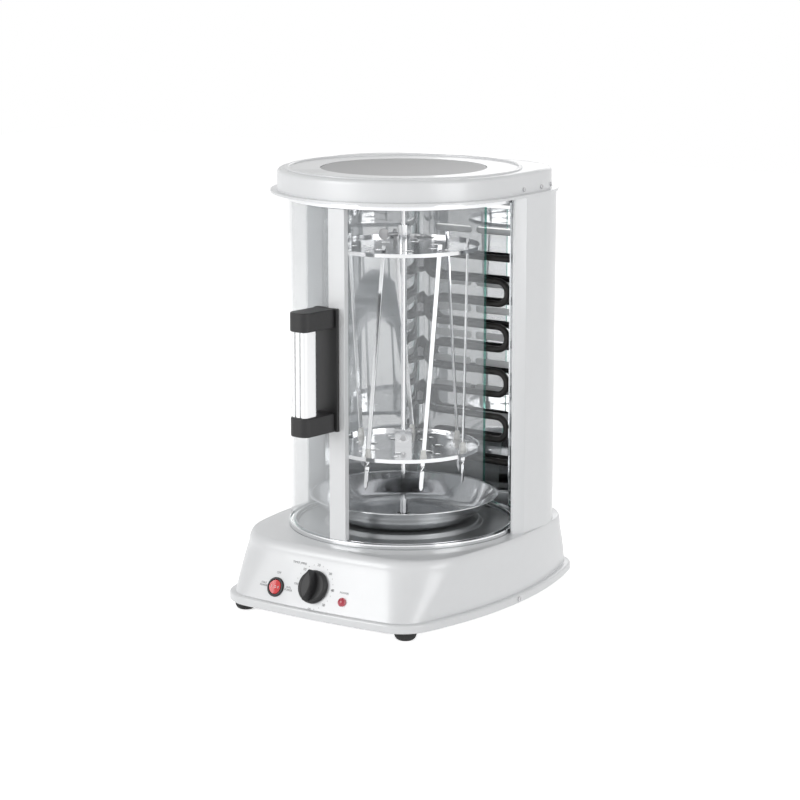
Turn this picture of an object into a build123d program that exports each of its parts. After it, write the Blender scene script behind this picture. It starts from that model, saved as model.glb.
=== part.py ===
"""Electric skewer grill: an upright glass chamber with a turning cage of skewers.

The frame is the object's own: +Z up, the ground at Z = 0, and the drum's axis on the Z axis.
The front, with the controls, looks towards -Y.  Sizes are millimetres and azimuths are degrees
counter-clockwise from +X, seen from above.  The curved door is drawn a quarter turn open.
"""
import os
from math import asin, atan2, cos, degrees, radians, sin, sqrt, tan

from build123d import *

# ------------------------------------------------------------------ clearances and sheet gauges
RUN_GAP = 0.4            # between parts that move past each other
SHAFT_FIT = 0.05         # radial play of a shaft in its bush
SEAT_GAP = 0.1           # radial play of a screw or spigot in its hole
SHEET = 1.5              # painted steel of the base
COVER_SHEET = 1.2        # painted steel of the cover and cap
MIRROR_SHEET = 1.0       # polished reflector

# ------------------------------------------------------------------ base
FOOT_HEIGHT = 11.0
FOOT_RADIUS = 13.0
FOOT_X = 113.0
FOOT_Y = 164.0
TRAY_HALF_WIDTH = 163.0
TRAY_HALF_DEPTH = 193.0
TRAY_HEIGHT = 10.5
TRAY_LEDGE = 13.0        # width of the ledge that carries the housing
SIDE_BOW = 34.0          # how far each side bulges past its corners
END_BOW = 7.0            # how far the front and back bulge
TRAY_CORNER = 46.0
SHELL_INSET = 6.0        # step from the tray's rim in to the housing
SHELL_HEIGHT = 65.5
PANEL_SLOPE = 23.0       # lean of the front panel, from upright
SHOULDER_HEIGHT = 13.0   # rounded shoulder above the front panel
SHOULDER_DEPTH = 10.8
SHELL_SIDE_DRAFT = 1.5
SHELL_BACK_DRAFT = 10.0
SHELL_TOP_BOW = 24.0
SHELL_TOP_CORNER = 75.0
SHELL_TOP_RUN_IN = 2.0   # how far the sides and back run in over the shoulder
SHOULDER_SHARES = (0.4, 0.75, 1.0)   # parts of the shoulder's height where it is drawn
VENT_ROWS = 7

# ------------------------------------------------------------------ drum, door and tracks
GLASS_RADIUS = 135.0     # outer face of the curved glass
GLASS_SHEET = 4.0
GLASS_SPAN = 192.0
POST_AZIMUTH = -90.0     # the door's upright, at the middle of the front
POST_LAP = 2.0           # degrees from the post's middle to the glass's edge in its groove
POST_WIDTH = 22.0
POST_WALL = 1.6
POST_DEPTH = 8.6
CHAMBER_HEIGHT = 397.0   # floor plate to ceiling
TRACK_WALL = 1.2
TRACK_DEPTH = 3.5
TRACK_TOP_DEPTH = 6.0

# ------------------------------------------------------------------ housing above the base
CAP_RADIUS = 148.0
CAP_REAR = 150.0
CAP_CORNER = 85.0
CAP_HEIGHT = 24.5
CAP_EDGE = 5.0
FLANGE_OVERHANG = 8.0
FLANGE_SHEET = 3.0
COVER_HALF_WIDTH = 150.0
COVER_REAR = 158.0
COVER_FRONT = 30.0
REAR_POST_SIZE = 10.0    # square posts inside the cover
COLUMN_NOSE_X = 138.6    # inner front corner of a side column
COLUMN_NOSE_Y = 19.0
LEFT_NOSE_Y = -2.0       # the left column reaches further forward
RIDGE_RADIUS = 136.0
RIDGE_WIDTH = 5.0
RIDGE_HEIGHT = 2.0
WARMER_RADIUS = 97.0
WARMER_RECESS = 1.6

# ------------------------------------------------------------------ floor and drip pan
FLOOR_SHEET = 1.0
BEAD_RADIUS = 127.0
BEAD_WIDTH = 3.0
BEAD_HEIGHT = 2.0
STEP_RADIUS = 90.0
STEP_HEIGHT = 5.0
PAN_BASE_RADIUS = 76.0
PAN_RIM_RADIUS = 113.0
PAN_DEPTH = 30.0
PAN_SHEET = 1.0
PAN_COLLAR_RADIUS = 9.0
PAN_COLLAR_HEIGHT = 4.0
PAN_LIP = 3.0

# ------------------------------------------------------------------ reflector and heater
LINER_RADIUS = 139.5     # curved side liners, just outside the glass
RECESS_HALF_WIDTH = 74.0
RECESS_REAR = 154.0
SLOT_LENGTH = 54.0
SLOT_WIDTH = 8.5
SLOT_PITCH = 32.7
SLOT_ROWS = 9
SLOT_OFFSET = 30.0
SLOT_FIRST_Z = 193.4
HEATER_RADIUS = 4.0
HEATER_PLANE = 144.0
HEATER_HALF_WIDTH = 63.0
HEATER_SHIFT = -4.0      # the coil stands left of the middle
HEATER_PITCH = 28.1
HEATER_RUNS = 10
HEATER_FIRST_Z = 138.3
TERMINAL_RADIUS = 6.0
TERMINAL_LENGTH = 16.0
CLIP_WIDTH = 10.0
CLIP_SHEET = 1.5

# ------------------------------------------------------------------ turning cage
SHAFT_RADIUS = 3.0
SOCKET_RADIUS = 4.8
SOCKET_TOP = 115.0
SOCKET_GRIP = 15.0
DISC_RADIUS = 90.0
DISC_SHEET = 1.2
DISC_LIP = 4.5
LOWER_DISC_Z = 178.0
UPPER_DISC_DROP = 67.0   # from the ceiling down to the upper disc
SKEWER_COUNT = 7
SKEWER_CIRCLE = 75.0
SKEWER_WIDTH = 5.0
SKEWER_THICKNESS = 1.8
SKEWER_TIP_Z = 140.0
SKEWER_HEAD = 12.0       # how far a skewer stands above the upper disc
SKEWER_TWIST = 15.7      # turn of the upper disc past the lower one
BUSH_RADIUS = 4.0
BUSH_HEIGHT = 11.0
FLOOR_BUSH_HEIGHT = 4.0
BEARING_FLANGE = 3.0
BEARING_SPIGOT = 5.0
HUB_SIZE = 20.0
HUB_HEIGHT = 21.0
UPPER_HUB_RADIUS = 7.0
UPPER_HUB_HEIGHT = 26.0
HOLE_CIRCLE = 41.0       # wide holes of the discs
HOLE_RADIUS = 7.0
SMALL_HOLE_CIRCLE = 58.5
SMALL_HOLE_RADIUS = 4.0
THUMB_SCREW_AZIMUTH = 208.0
THUMB_SHANK_RADIUS = 2.0
THUMB_SHANK_LENGTH = 12.0
WING_RADIUS = 6.5
WING_THICKNESS = 2.4
THUMB_RISE = 14.3        # above the foot of the upper hub

# ------------------------------------------------------------------ handle
HANDLE_AZIMUTH = -95.5
HANDLE_BOTTOM_Z = 221.5
HANDLE_HEIGHT = 142.5
HANDLE_PLATE_WIDTH = 34.0
HANDLE_PLATE_THICKNESS = 4.0
HANDLE_REACH = 56.0      # from the glass out to the face of the grip
HANDLE_ARM_WIDTH = 28.0
HANDLE_ARM_HEIGHT = 22.0
GRIP_WIDTH = 22.0
GRIP_DEPTH = 26.0
GRIP_RECESS = 3.0        # the grip's face lies back from the arms' ends
GRIP_FLUTES = 2
FLUTE_WIDTH = 1.6
FLUTE_DEPTH = 2.0

# ------------------------------------------------------------------ controls
KNOB_X = -4.7
KNOB_RISE = 26.0         # up the slope of the panel
KNOB_RADIUS = 19.5
KNOB_SKIRT = 7.0
KNOB_HEIGHT = 19.0
KNOB_GRIP_WIDTH = 16.0
SPINDLE_RADIUS = 3.0
ROCKER_X = -58.0
ROCKER_RISE = 17.5
BEZEL_RADIUS = 11.5
BEZEL_HEIGHT = 2.0
ROCKER_RADIUS = 8.6
SWITCH_RADIUS = 9.8
SWITCH_LENGTH = 20.0
LAMP_X = 37.5
LAMP_RISE = 14.7
LAMP_RADIUS = 5.2
LAMP_LENGTH = 12.0
LENS_LENGTH = 8.0
TIMER_WIDTH = 44.0
TIMER_DEPTH = 26.0

# ------------------------------------------------------------------ drive, wiring and screws
MOTOR_RADIUS = 25.0
MOTOR_HEIGHT = 18.0
GEARBOX_LENGTH = 60.0
GEARBOX_WIDTH = 52.0
GEARBOX_HEIGHT = 24.0
GEARBOX_SETBACK = 8.0
BRACKET_SHEET = 2.0
BRACKET_WIDTH = 40.0
BRACKET_REACH = 52.0
GLAND_X = 80.0
GLAND_Z = 48.0
GLAND_RADIUS = 9.0
GLAND_BORE = 3.6
GLAND_FLANGE_RADIUS = 12.5
GLAND_LENGTH = 20.0
GLAND_NOSE = 18.0        # how far it stands out of the wall
BLOCK_WIDTH = 32.0       # terminal block
BLOCK_DEPTH = 18.0
BLOCK_HEIGHT = 16.0
BLOCK_PITCH = 10.0
BLOCK_HOLE_RADIUS = 3.0
BLOCK_HOLE_DEPTH = 6.0
SCREW_RADIUS = 1.6
SCREW_HEAD_RADIUS = 3.2
SCREW_HEAD_HEIGHT = 1.6

# ------------------------------------------------------------------ levels and radii that follow
TRAY_BOTTOM = FOOT_HEIGHT
TRAY_TOP = TRAY_BOTTOM + TRAY_HEIGHT
SHELL_TOP = TRAY_TOP + SHELL_HEIGHT
FLOOR_TOP = SHELL_TOP + FLOOR_SHEET
CEILING = FLOOR_TOP + CHAMBER_HEIGHT
UPPER_DISC_Z = CEILING - UPPER_DISC_DROP
FLANGE_TOP = CEILING + FLANGE_SHEET
CAP_TOP = FLANGE_TOP + CAP_HEIGHT
GLASS_INNER = GLASS_RADIUS - GLASS_SHEET
GLASS_BOTTOM = FLOOR_TOP + TRACK_WALL + RUN_GAP
GLASS_TOP = CEILING - TRACK_WALL - RUN_GAP
TRACK_INNER = GLASS_INNER - 2 * RUN_GAP
TRACK_OUTER = GLASS_RADIUS + 2 * RUN_GAP
LOWER_TRACK_TOP = FLOOR_TOP + TRACK_WALL + TRACK_DEPTH
UPPER_TRACK_BOTTOM = CEILING - TRACK_WALL - TRACK_TOP_DEPTH
POST_BOTTOM = LOWER_TRACK_TOP + RUN_GAP
POST_TOP = UPPER_TRACK_BOTTOM - RUN_GAP
POST_OUTER = GLASS_RADIUS + RUN_GAP + POST_WALL
POST_INNER = POST_OUTER - POST_DEPTH
POST_HALF_ANGLE = degrees(POST_WIDTH / 2 / GLASS_RADIUS)
GLASS_START = POST_AZIMUTH - POST_LAP
STEP_TOP = FLOOR_TOP + STEP_HEIGHT
PAN_BOTTOM = STEP_TOP + RUN_GAP
PAN_TOP = PAN_BOTTOM + PAN_DEPTH
SHAFT_BOTTOM = SOCKET_TOP - SOCKET_GRIP
SHAFT_TOP = CEILING + FLANGE_SHEET
GRIP_OUTER = GLASS_RADIUS + HANDLE_REACH
PLATE_INNER = POST_OUTER + SEAT_GAP
PLATE_OUTER = PLATE_INNER + HANDLE_PLATE_THICKNESS
GRIP_INNER = GRIP_OUTER - GRIP_DEPTH
GEARBOX_TOP = SHELL_TOP - SHEET - BRACKET_SHEET
SOCKET_BOTTOM = GEARBOX_TOP + RUN_GAP

UP = (0, 0, 1)
BASE_ALIGN = (Align.CENTER, Align.CENTER, Align.MIN)


# ------------------------------------------------------------------ small builders
def cylinder(radius, bottom, top, x=0.0, y=0.0):
    """An upright cylinder between two levels."""
    return Pos(x, y, bottom) * Cylinder(radius, top - bottom, align=BASE_ALIGN)


def ring(outer, inner, bottom, top, x=0.0, y=0.0):
    """An upright tube between two levels."""
    return cylinder(outer, bottom, top, x, y) - cylinder(inner, bottom - 1, top + 1, x, y)


def block(x0, x1, y0, y1, z0, z1):
    """A box between two corners."""
    middle = Pos((x0 + x1) / 2, (y0 + y1) / 2, (z0 + z1) / 2)
    return middle * Box(x1 - x0, y1 - y0, z1 - z0)


def prism(face, bottom, top):
    """A flat face drawn at Z = 0, raised between two levels."""
    return Pos(0, 0, bottom) * extrude(face, amount=top - bottom, dir=UP)


def polar(radius, azimuth, z=0.0):
    """The point at a radius and azimuth about the drum's axis."""
    return (radius * cos(radians(azimuth)), radius * sin(radians(azimuth)), z)


def sector(outer, inner, start, end, bottom, top):
    """A curved wall about the drum's axis between two azimuths."""
    middle = (start + end) / 2
    outline = [
        ThreePointArc(polar(outer, start), polar(outer, middle), polar(outer, end)),
        Line(polar(outer, end), polar(inner, end)),
        ThreePointArc(polar(inner, end), polar(inner, middle), polar(inner, start)),
        Line(polar(inner, start), polar(outer, start)),
    ]
    return prism(make_face(outline), bottom, top)


def turned(profile):
    """A closed profile of (radius, z) points, turned about the Z axis."""
    points = [(radius, 0, z) for radius, z in profile]
    return revolve(make_face(Polyline(*points, close=True)), axis=Axis.Z)


def group(solids):
    """Separate solids kept together in one node."""
    return Compound(children=[solid for item in solids for solid in item.solids()])


def screw(length, radius=SCREW_RADIUS, head=SCREW_HEAD_RADIUS, height=SCREW_HEAD_HEIGHT):
    """A pan-head screw along Z: the head stands above Z = 0, the shank runs down."""
    dome = cylinder(head, 0, height)
    dome = fillet(dome.edges().group_by(Axis.Z)[-1], height * 0.6)
    cross = Pos(0, 0, height) * (Box(head, height * 0.3, height) + Box(height * 0.3, head, height))
    return dome + cylinder(radius, -length, 0) - cross


def facing(point, normal, part):
    """A part drawn along +Z, moved to a point and turned to face along a normal."""
    return Plane(origin=point, z_dir=normal).location * part


# ------------------------------------------------------------------ outlines
def base_outline(half_width, front, back, side_bow, end_bow, corner):
    """The base's rounded plan: four bowed sides with round corners."""
    corner_x = half_width - side_bow
    front_y, back_y = end_bow - front, back - end_bow
    middle_y = (back - front) / 2
    sides = [
        ThreePointArc((-corner_x, front_y), (0, -front), (corner_x, front_y)),
        ThreePointArc((corner_x, front_y), (half_width, middle_y), (corner_x, back_y)),
        ThreePointArc((corner_x, back_y), (0, back), (-corner_x, back_y)),
        ThreePointArc((-corner_x, back_y), (-half_width, middle_y), (-corner_x, front_y)),
    ]
    face = Face(Wire(sides))
    return face.fillet_2d(corner, face.vertices())


def tray_outline(inset):
    """The tray's plan, drawn in by an inset."""
    return base_outline(TRAY_HALF_WIDTH - inset, TRAY_HALF_DEPTH - inset, TRAY_HALF_DEPTH - inset,
                        SIDE_BOW, END_BOW, TRAY_CORNER - inset)


def shell_sections(inset, bottom):
    """The housing's plans from the tray up over the front shoulder, as (level, face) pairs."""
    width = TRAY_HALF_WIDTH - SHELL_INSET
    depth = TRAY_HALF_DEPTH - SHELL_INSET
    wall_height = SHELL_HEIGHT - SHOULDER_HEIGHT
    wall_lean = wall_height * tan(radians(PANEL_SLOPE))
    levels = [(0.0, 0.0, 0.0, 0.0), (1.0, wall_lean, 0.0, 0.0)]
    for share in SHOULDER_SHARES:
        # quarter-round shoulder: it runs in as it rises
        run_in = 1 - sqrt(1 - share ** 2)
        levels.append((1.0 + share, wall_lean + SHOULDER_DEPTH * run_in, run_in, share))
    sections = []
    for stage, lean, run_in, share in levels:
        rise = wall_height * min(stage, 1.0) + SHOULDER_HEIGHT * share
        part_way = min(stage, 1.0)
        half_width = width - SHELL_SIDE_DRAFT * part_way - SHELL_TOP_RUN_IN * run_in
        back = depth - SHELL_BACK_DRAFT * part_way - SHELL_TOP_RUN_IN * run_in
        bow = SIDE_BOW + (SHELL_TOP_BOW - SIDE_BOW) * part_way
        foot_corner = TRAY_CORNER - SHELL_INSET
        corner = foot_corner + (SHELL_TOP_CORNER - foot_corner) * part_way
        face = base_outline(half_width - inset, depth - lean - inset, back - inset,
                            bow, END_BOW, corner - inset)
        sections.append((bottom + rise, face))
    return sections


def shell_solid(inset, bottom):
    """The housing's outer or inner form, lofted through its plans."""
    wires = [Pos(0, 0, level) * face.outer_wire() for level, face in shell_sections(inset, bottom)]
    return Solid.make_loft(wires, ruled=True)


def housing_outline(front_radius, rear, corner):
    """The cap's plan: a half circle in front, straight sides and a rounded back."""
    side_end = rear - corner
    corner_x = front_radius - corner
    diagonal = corner * sqrt(0.5)
    outline = [
        ThreePointArc((-front_radius, 0), (0, -front_radius), (front_radius, 0)),
        Line((front_radius, 0), (front_radius, side_end)),
        ThreePointArc((front_radius, side_end), (corner_x + diagonal, side_end + diagonal),
                      (corner_x, rear)),
        Line((corner_x, rear), (-corner_x, rear)),
        ThreePointArc((-corner_x, rear), (-corner_x - diagonal, side_end + diagonal),
                      (-front_radius, side_end)),
        Line((-front_radius, side_end), (-front_radius, 0)),
    ]
    return make_face(outline)


def cap_outline(offset):
    """The cap's plan, grown or drawn in by an offset."""
    return housing_outline(CAP_RADIUS + offset, CAP_REAR + offset, CAP_CORNER + offset)


def cover_outline(inset, front):
    """The rear cover's plan: open in front, with round back corners."""
    side, rear, corner = COVER_HALF_WIDTH - inset, COVER_REAR - inset, CAP_CORNER - inset
    side_end, corner_x = rear - corner, side - corner
    diagonal = corner * sqrt(0.5)
    outline = [
        Line((-side, front), (side, front)),
        Line((side, front), (side, side_end)),
        ThreePointArc((side, side_end), (corner_x + diagonal, side_end + diagonal),
                      (corner_x, rear)),
        Line((corner_x, rear), (-corner_x, rear)),
        ThreePointArc((-corner_x, rear), (-corner_x - diagonal, side_end + diagonal),
                      (-side, side_end)),
        Line((-side, side_end), (-side, front)),
    ]
    return make_face(outline)


# ------------------------------------------------------------------ the sloping front panel
def panel_plane(x, rise):
    """The plane on the front panel at a place across it and a distance up its slope."""
    slope = radians(PANEL_SLOPE)
    share = rise * cos(slope) / (SHELL_HEIGHT - SHOULDER_HEIGHT)
    depth = TRAY_HALF_DEPTH - SHELL_INSET + SEAT_GAP
    bow_change = (SIDE_BOW - SHELL_TOP_BOW - SHELL_SIDE_DRAFT) * share
    corner_x = TRAY_HALF_WIDTH - SHELL_INSET - SIDE_BOW + bow_change
    front_radius = (corner_x ** 2 + END_BOW ** 2) / (2 * END_BOW)
    yaw = asin(x / front_radius)
    bow = front_radius * (1 - cos(yaw))
    point = (x, -depth + bow + rise * sin(slope), TRAY_TOP + rise * cos(slope))
    normal = (sin(yaw) * cos(slope), -cos(yaw) * cos(slope), sin(slope))
    return Plane(origin=point, x_dir=(cos(yaw), sin(yaw), 0), z_dir=normal)


def on_panel(x, rise, part):
    """A part drawn along +Z, standing out of the front panel."""
    return panel_plane(x, rise).location * part


# ------------------------------------------------------------------ base
def foot_places():
    """The four places of the feet and their screws."""
    return [(side * FOOT_X, end * FOOT_Y) for side in (-1, 1) for end in (-1, 1)]


def side_screw_places():
    """Places and normals of the screws round the tray's rim."""
    level = TRAY_BOTTOM + TRAY_HEIGHT / 2
    sides = [((side * TRAY_HALF_WIDTH, 0, level), (side, 0, 0)) for side in (-1, 1)]
    back_x = TRAY_HALF_WIDTH / 3
    bow = END_BOW * ((back_x - SCREW_HEAD_RADIUS) / (TRAY_HALF_WIDTH - SIDE_BOW)) ** 2
    backs = [((side * back_x, TRAY_HALF_DEPTH - bow, level), (0, 1, 0)) for side in (-1, 1)]
    return sides + backs


def make_base_tray():
    """The low tray that closes the base from below, with a ledge that carries the housing."""
    tray = prism(tray_outline(0), TRAY_BOTTOM, TRAY_TOP)
    tray -= prism(tray_outline(SHEET), TRAY_BOTTOM + SHEET, TRAY_TOP - SHEET)
    tray -= prism(tray_outline(TRAY_LEDGE), TRAY_TOP - 2 * SHEET, TRAY_TOP + 1)
    for point, normal in side_screw_places():
        boss = Pos(0, 0, -TRAY_LEDGE / 2) * Box(TRAY_HEIGHT - SHEET, TRAY_HEIGHT - SHEET,
                                                TRAY_LEDGE - 2 * SHEET)
        tray += facing(point, normal, boss)
        tray -= facing(point, normal, cylinder(SCREW_RADIUS + SEAT_GAP, -TRAY_LEDGE / 2, 5))
    for x, y in foot_places():
        tray -= cylinder(SCREW_RADIUS + SEAT_GAP, TRAY_BOTTOM - 1, TRAY_BOTTOM + SHEET + 1, x, y)
    slot = extrude(SlotOverall(FOOT_X, SHEET * 2), SHEET + 2, dir=UP)
    for row in range(VENT_ROWS):
        y = (row - (VENT_ROWS - 1) / 2) * TRAY_HEIGHT
        tray -= Pos(0, y, TRAY_BOTTOM - 1) * slot
    return tray


def make_rubber_feet():
    """Four domed rubber feet with a sunk screw hole."""
    height, radius = FOOT_HEIGHT, FOOT_RADIUS
    profile = [(0, 0), (radius * 0.5, 0), (radius * 0.78, height * 0.14),
               (radius * 0.94, height * 0.45), (radius, height), (0, height)]
    foot = turned(profile)
    foot -= cylinder(SCREW_RADIUS + SEAT_GAP, -1, height + 1)
    foot -= cylinder(SCREW_HEAD_RADIUS + 2 * SEAT_GAP, -1, height / 2)
    return group([Pos(x, y, 0) * foot for x, y in foot_places()])


def make_foot_screws():
    """The screws that hold the feet to the tray, heads sunk in the rubber."""
    length = FOOT_HEIGHT / 2 + 2 * SHEET
    body = Rot(180, 0, 0) * screw(length)
    return group([Pos(x, y, FOOT_HEIGHT / 2) * body for x, y in foot_places()])


def make_tray_screws():
    """The small screws round the tray's rim."""
    body = screw(TRAY_LEDGE / 2 - SHEET)
    return group([facing(point, normal, body) for point, normal in side_screw_places()])


def make_base_shell():
    """The painted housing of the base with its sloping control panel."""
    shell = shell_solid(0, TRAY_TOP) - shell_solid(SHEET, TRAY_TOP - SHEET)
    shell -= cylinder(GLASS_INNER, SHELL_TOP - 2 * SHEET, SHELL_TOP + 1)
    shell -= block(-RECESS_HALF_WIDTH, RECESS_HALF_WIDTH, 0, RECESS_REAR,
                   SHELL_TOP - 2 * SHEET, SHELL_TOP + 1)
    shell += ring(GLASS_INNER + SHEET, BEAD_RADIUS - 3 * SHEET, SHELL_TOP - SHEET, SHELL_TOP)
    hole = SCREW_RADIUS + SPINDLE_RADIUS
    shell -= on_panel(KNOB_X, KNOB_RISE, cylinder(hole, -3 * SHEET, 5))
    shell -= on_panel(ROCKER_X, ROCKER_RISE, cylinder(SWITCH_RADIUS + SEAT_GAP, -3 * SHEET, 5))
    shell -= on_panel(LAMP_X, LAMP_RISE, cylinder(LAMP_RADIUS - SHEET + SEAT_GAP, -3 * SHEET, 5))
    gland = facing((GLAND_X, TRAY_HALF_DEPTH, GLAND_Z), (0, 1, 0),
                   cylinder(GLAND_RADIUS + SEAT_GAP, -GLAND_LENGTH * 1.5, GLAND_LENGTH))
    return shell - gland


def back_wall_y(x, z):
    """How far back the housing's rear wall stands at a place on it."""
    lean = SHELL_BACK_DRAFT * (z - TRAY_TOP) / (SHELL_HEIGHT - SHOULDER_HEIGHT)
    corner_x = TRAY_HALF_WIDTH - SHELL_INSET - SIDE_BOW
    return TRAY_HALF_DEPTH - SHELL_INSET - lean - END_BOW * (x / corner_x) ** 2


def make_cord_gland():
    """The bushing in the rear wall where the mains lead would enter."""
    flange_y = back_wall_y(GLAND_X - GLAND_FLANGE_RADIUS, GLAND_Z - GLAND_FLANGE_RADIUS)
    body = cylinder(GLAND_RADIUS, -GLAND_LENGTH, 0)
    body += cylinder(GLAND_FLANGE_RADIUS, 0, 2 * SHEET)
    body += Pos(0, 0, 2 * SHEET) * Cone(GLAND_RADIUS, GLAND_RADIUS * 0.7, GLAND_NOSE - 2 * SHEET,
                                        align=BASE_ALIGN)
    body -= cylinder(GLAND_BORE, -GLAND_LENGTH - 1, GLAND_NOSE + 1)
    return facing((GLAND_X, flange_y, GLAND_Z), (0, 1, 0), body)


# ------------------------------------------------------------------ chamber floor, pan and tracks
def make_floor_plate():
    """The polished floor: a bead round the edge and a raised step that carries the pan."""
    floor = cylinder(TRACK_OUTER + TRACK_WALL, SHELL_TOP, FLOOR_TOP)
    floor += block(-RECESS_HALF_WIDTH, RECESS_HALF_WIDTH, 0, RECESS_REAR, SHELL_TOP, FLOOR_TOP)
    bead = ring(BEAD_RADIUS + BEAD_WIDTH / 2, BEAD_RADIUS - BEAD_WIDTH / 2, SHELL_TOP,
                FLOOR_TOP + BEAD_HEIGHT)
    bead = fillet(bead.edges().group_by(Axis.Z)[-1], BEAD_WIDTH * 0.45)
    step = turned([(STEP_RADIUS + STEP_HEIGHT, FLOOR_TOP - FLOOR_SHEET),
                   (STEP_RADIUS + STEP_HEIGHT, FLOOR_TOP), (STEP_RADIUS, STEP_TOP),
                   (SOCKET_RADIUS * 2, STEP_TOP), (SOCKET_RADIUS * 2, STEP_TOP - FLOOR_SHEET),
                   (STEP_RADIUS - FLOOR_SHEET, STEP_TOP - FLOOR_SHEET)])
    floor -= cylinder(STEP_RADIUS + STEP_HEIGHT - FLOOR_SHEET, SHELL_TOP - 1, FLOOR_TOP + 1)
    return floor + bead + step


def make_lower_track():
    """The round channel that the glass stands in."""
    channel = ring(TRACK_OUTER + TRACK_WALL, TRACK_INNER - TRACK_WALL, FLOOR_TOP, LOWER_TRACK_TOP)
    channel -= ring(TRACK_OUTER, TRACK_INNER, FLOOR_TOP + TRACK_WALL, LOWER_TRACK_TOP + 1)
    return channel


def make_upper_track():
    """The round channel under the ceiling that holds the top of the glass."""
    channel = ring(TRACK_OUTER + TRACK_WALL, TRACK_INNER - TRACK_WALL, UPPER_TRACK_BOTTOM, CEILING)
    channel -= ring(TRACK_OUTER, TRACK_INNER, UPPER_TRACK_BOTTOM - 1, CEILING - TRACK_WALL)
    return channel


def make_drip_pan():
    """The round steel dish that catches the drips, with a collar round the drive."""
    wall, deep = PAN_SHEET, PAN_BOTTOM
    outer, rim, top = PAN_BASE_RADIUS, PAN_RIM_RADIUS, PAN_TOP
    bend = PAN_DEPTH / 3
    collar, collar_top = PAN_COLLAR_RADIUS, deep + PAN_COLLAR_HEIGHT
    profile = [
        (collar, deep), (outer, deep), (outer + bend, deep + bend / 2),
        (rim - PAN_LIP, top - wall), (rim, top - wall), (rim, top),
        (rim - PAN_LIP - wall, top), (outer + bend - wall / 2, deep + bend / 2 + wall),
        (outer - wall / 2, deep + wall), (collar + wall, deep + wall),
        (collar, collar_top), (collar - wall, collar_top), (collar - wall, deep),
    ]
    return turned(profile)


# ------------------------------------------------------------------ housing above the base
def make_reflector():
    """The mirror-polished liner: curved sides, a recess for the heater and rows of slots."""
    outer = LINER_RADIUS + MIRROR_SHEET
    front = degrees(atan2(COVER_FRONT, LINER_RADIUS))
    corner = degrees(atan2(sqrt(LINER_RADIUS ** 2 - RECESS_HALF_WIDTH ** 2), RECESS_HALF_WIDTH))
    bottom, top = FLOOR_TOP, CEILING
    right = sector(outer, LINER_RADIUS, front, corner, bottom, top)
    left = sector(outer, LINER_RADIUS, 180 - corner, 180 - front, bottom, top)
    step_y = sqrt(LINER_RADIUS ** 2 - RECESS_HALF_WIDTH ** 2)
    back = block(-RECESS_HALF_WIDTH - MIRROR_SHEET, RECESS_HALF_WIDTH + MIRROR_SHEET,
                 RECESS_REAR, RECESS_REAR + MIRROR_SHEET, bottom, top)
    wall = block(RECESS_HALF_WIDTH, RECESS_HALF_WIDTH + MIRROR_SHEET, step_y - MIRROR_SHEET,
                 RECESS_REAR + MIRROR_SHEET, bottom, top)
    liner = right + left + back + wall + mirror(wall, Plane.YZ)
    slot = extrude(SlotOverall(SLOT_LENGTH, SLOT_WIDTH), MIRROR_SHEET * 6, both=True)
    slot = Rot(90, 0, 0) * slot
    for row in range(SLOT_ROWS):
        for side in (-1, 1):
            level = SLOT_FIRST_Z + row * SLOT_PITCH
            liner -= Pos(side * SLOT_OFFSET, RECESS_REAR, level) * slot
    for level in terminal_levels():
        liner -= Pos(RECESS_HALF_WIDTH, HEATER_PLANE, level) * (
            Rot(0, 90, 0) * Cylinder(HEATER_RADIUS + SEAT_GAP, MIRROR_SHEET * 6))
    return liner


def make_rear_cover():
    """The painted casing round the back and sides, with rows of vents near the top."""
    outer = prism(cover_outline(0, COVER_FRONT), SHELL_TOP, CEILING)
    cover = outer - prism(cover_outline(COVER_SHEET, COVER_FRONT - 1), SHELL_TOP - 1, CEILING + 1)
    slot = Rot(90, 0, 0) * extrude(SlotOverall(SLOT_LENGTH, SLOT_WIDTH / 2), COVER_SHEET * 4,
                                   both=True)
    for row in range(SLOT_ROWS // 2):
        for side in (-1, 1):
            for level in (CEILING - SLOT_PITCH, SHELL_TOP + SLOT_PITCH * 2):
                vent = Pos(side * SLOT_OFFSET, COVER_REAR, level - row * SLOT_WIDTH)
                cover -= vent * slot
    for point, normal in cover_screw_places():
        cover -= facing(point, normal, cylinder(SCREW_RADIUS + SEAT_GAP, -4 * COVER_SHEET, 5))
    return cover


def rear_post_x():
    """The middle of a rear post, beside the heater's recess."""
    return RECESS_HALF_WIDTH + MIRROR_SHEET + TERMINAL_LENGTH + REAR_POST_SIZE


def cover_back_y(x):
    """How far back the cover's outer face stands at a place across it."""
    corner_x, side_end = COVER_HALF_WIDTH - CAP_CORNER, COVER_REAR - CAP_CORNER
    return side_end + sqrt(CAP_CORNER ** 2 - max(abs(x) - corner_x, 0) ** 2)


def cover_screw_places():
    """Places and normals of the screws down the back of the cover."""
    x = rear_post_x()
    y = cover_back_y(x - SCREW_HEAD_RADIUS)
    levels = [SHELL_TOP + SLOT_PITCH / 2, (SHELL_TOP + CEILING) / 2, CEILING - SLOT_PITCH / 2]
    return [((side * x, y, level), (0, 1, 0)) for side in (-1, 1) for level in levels]


def make_rear_posts():
    """Two square posts inside the cover that carry the cap and take the cover's screws."""
    half = REAR_POST_SIZE / 2
    x = rear_post_x()
    back = cover_back_y(x + half) - COVER_SHEET - 2 * SEAT_GAP
    posts = []
    for side in (-1, 1):
        post = block(side * x - half, side * x + half, back - REAR_POST_SIZE, back,
                     SHELL_TOP, CEILING)
        posts.append(post)
    for point, normal in cover_screw_places():
        hole = facing(point, normal, cylinder(SCREW_RADIUS + SEAT_GAP, -3 * REAR_POST_SIZE, 1))
        posts = [post - hole for post in posts]
    return group(posts)


def make_cover_screws():
    """The screws down the back of the cover."""
    body = screw(REAR_POST_SIZE)
    return group([facing(point, normal, body) for point, normal in cover_screw_places()])


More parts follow.
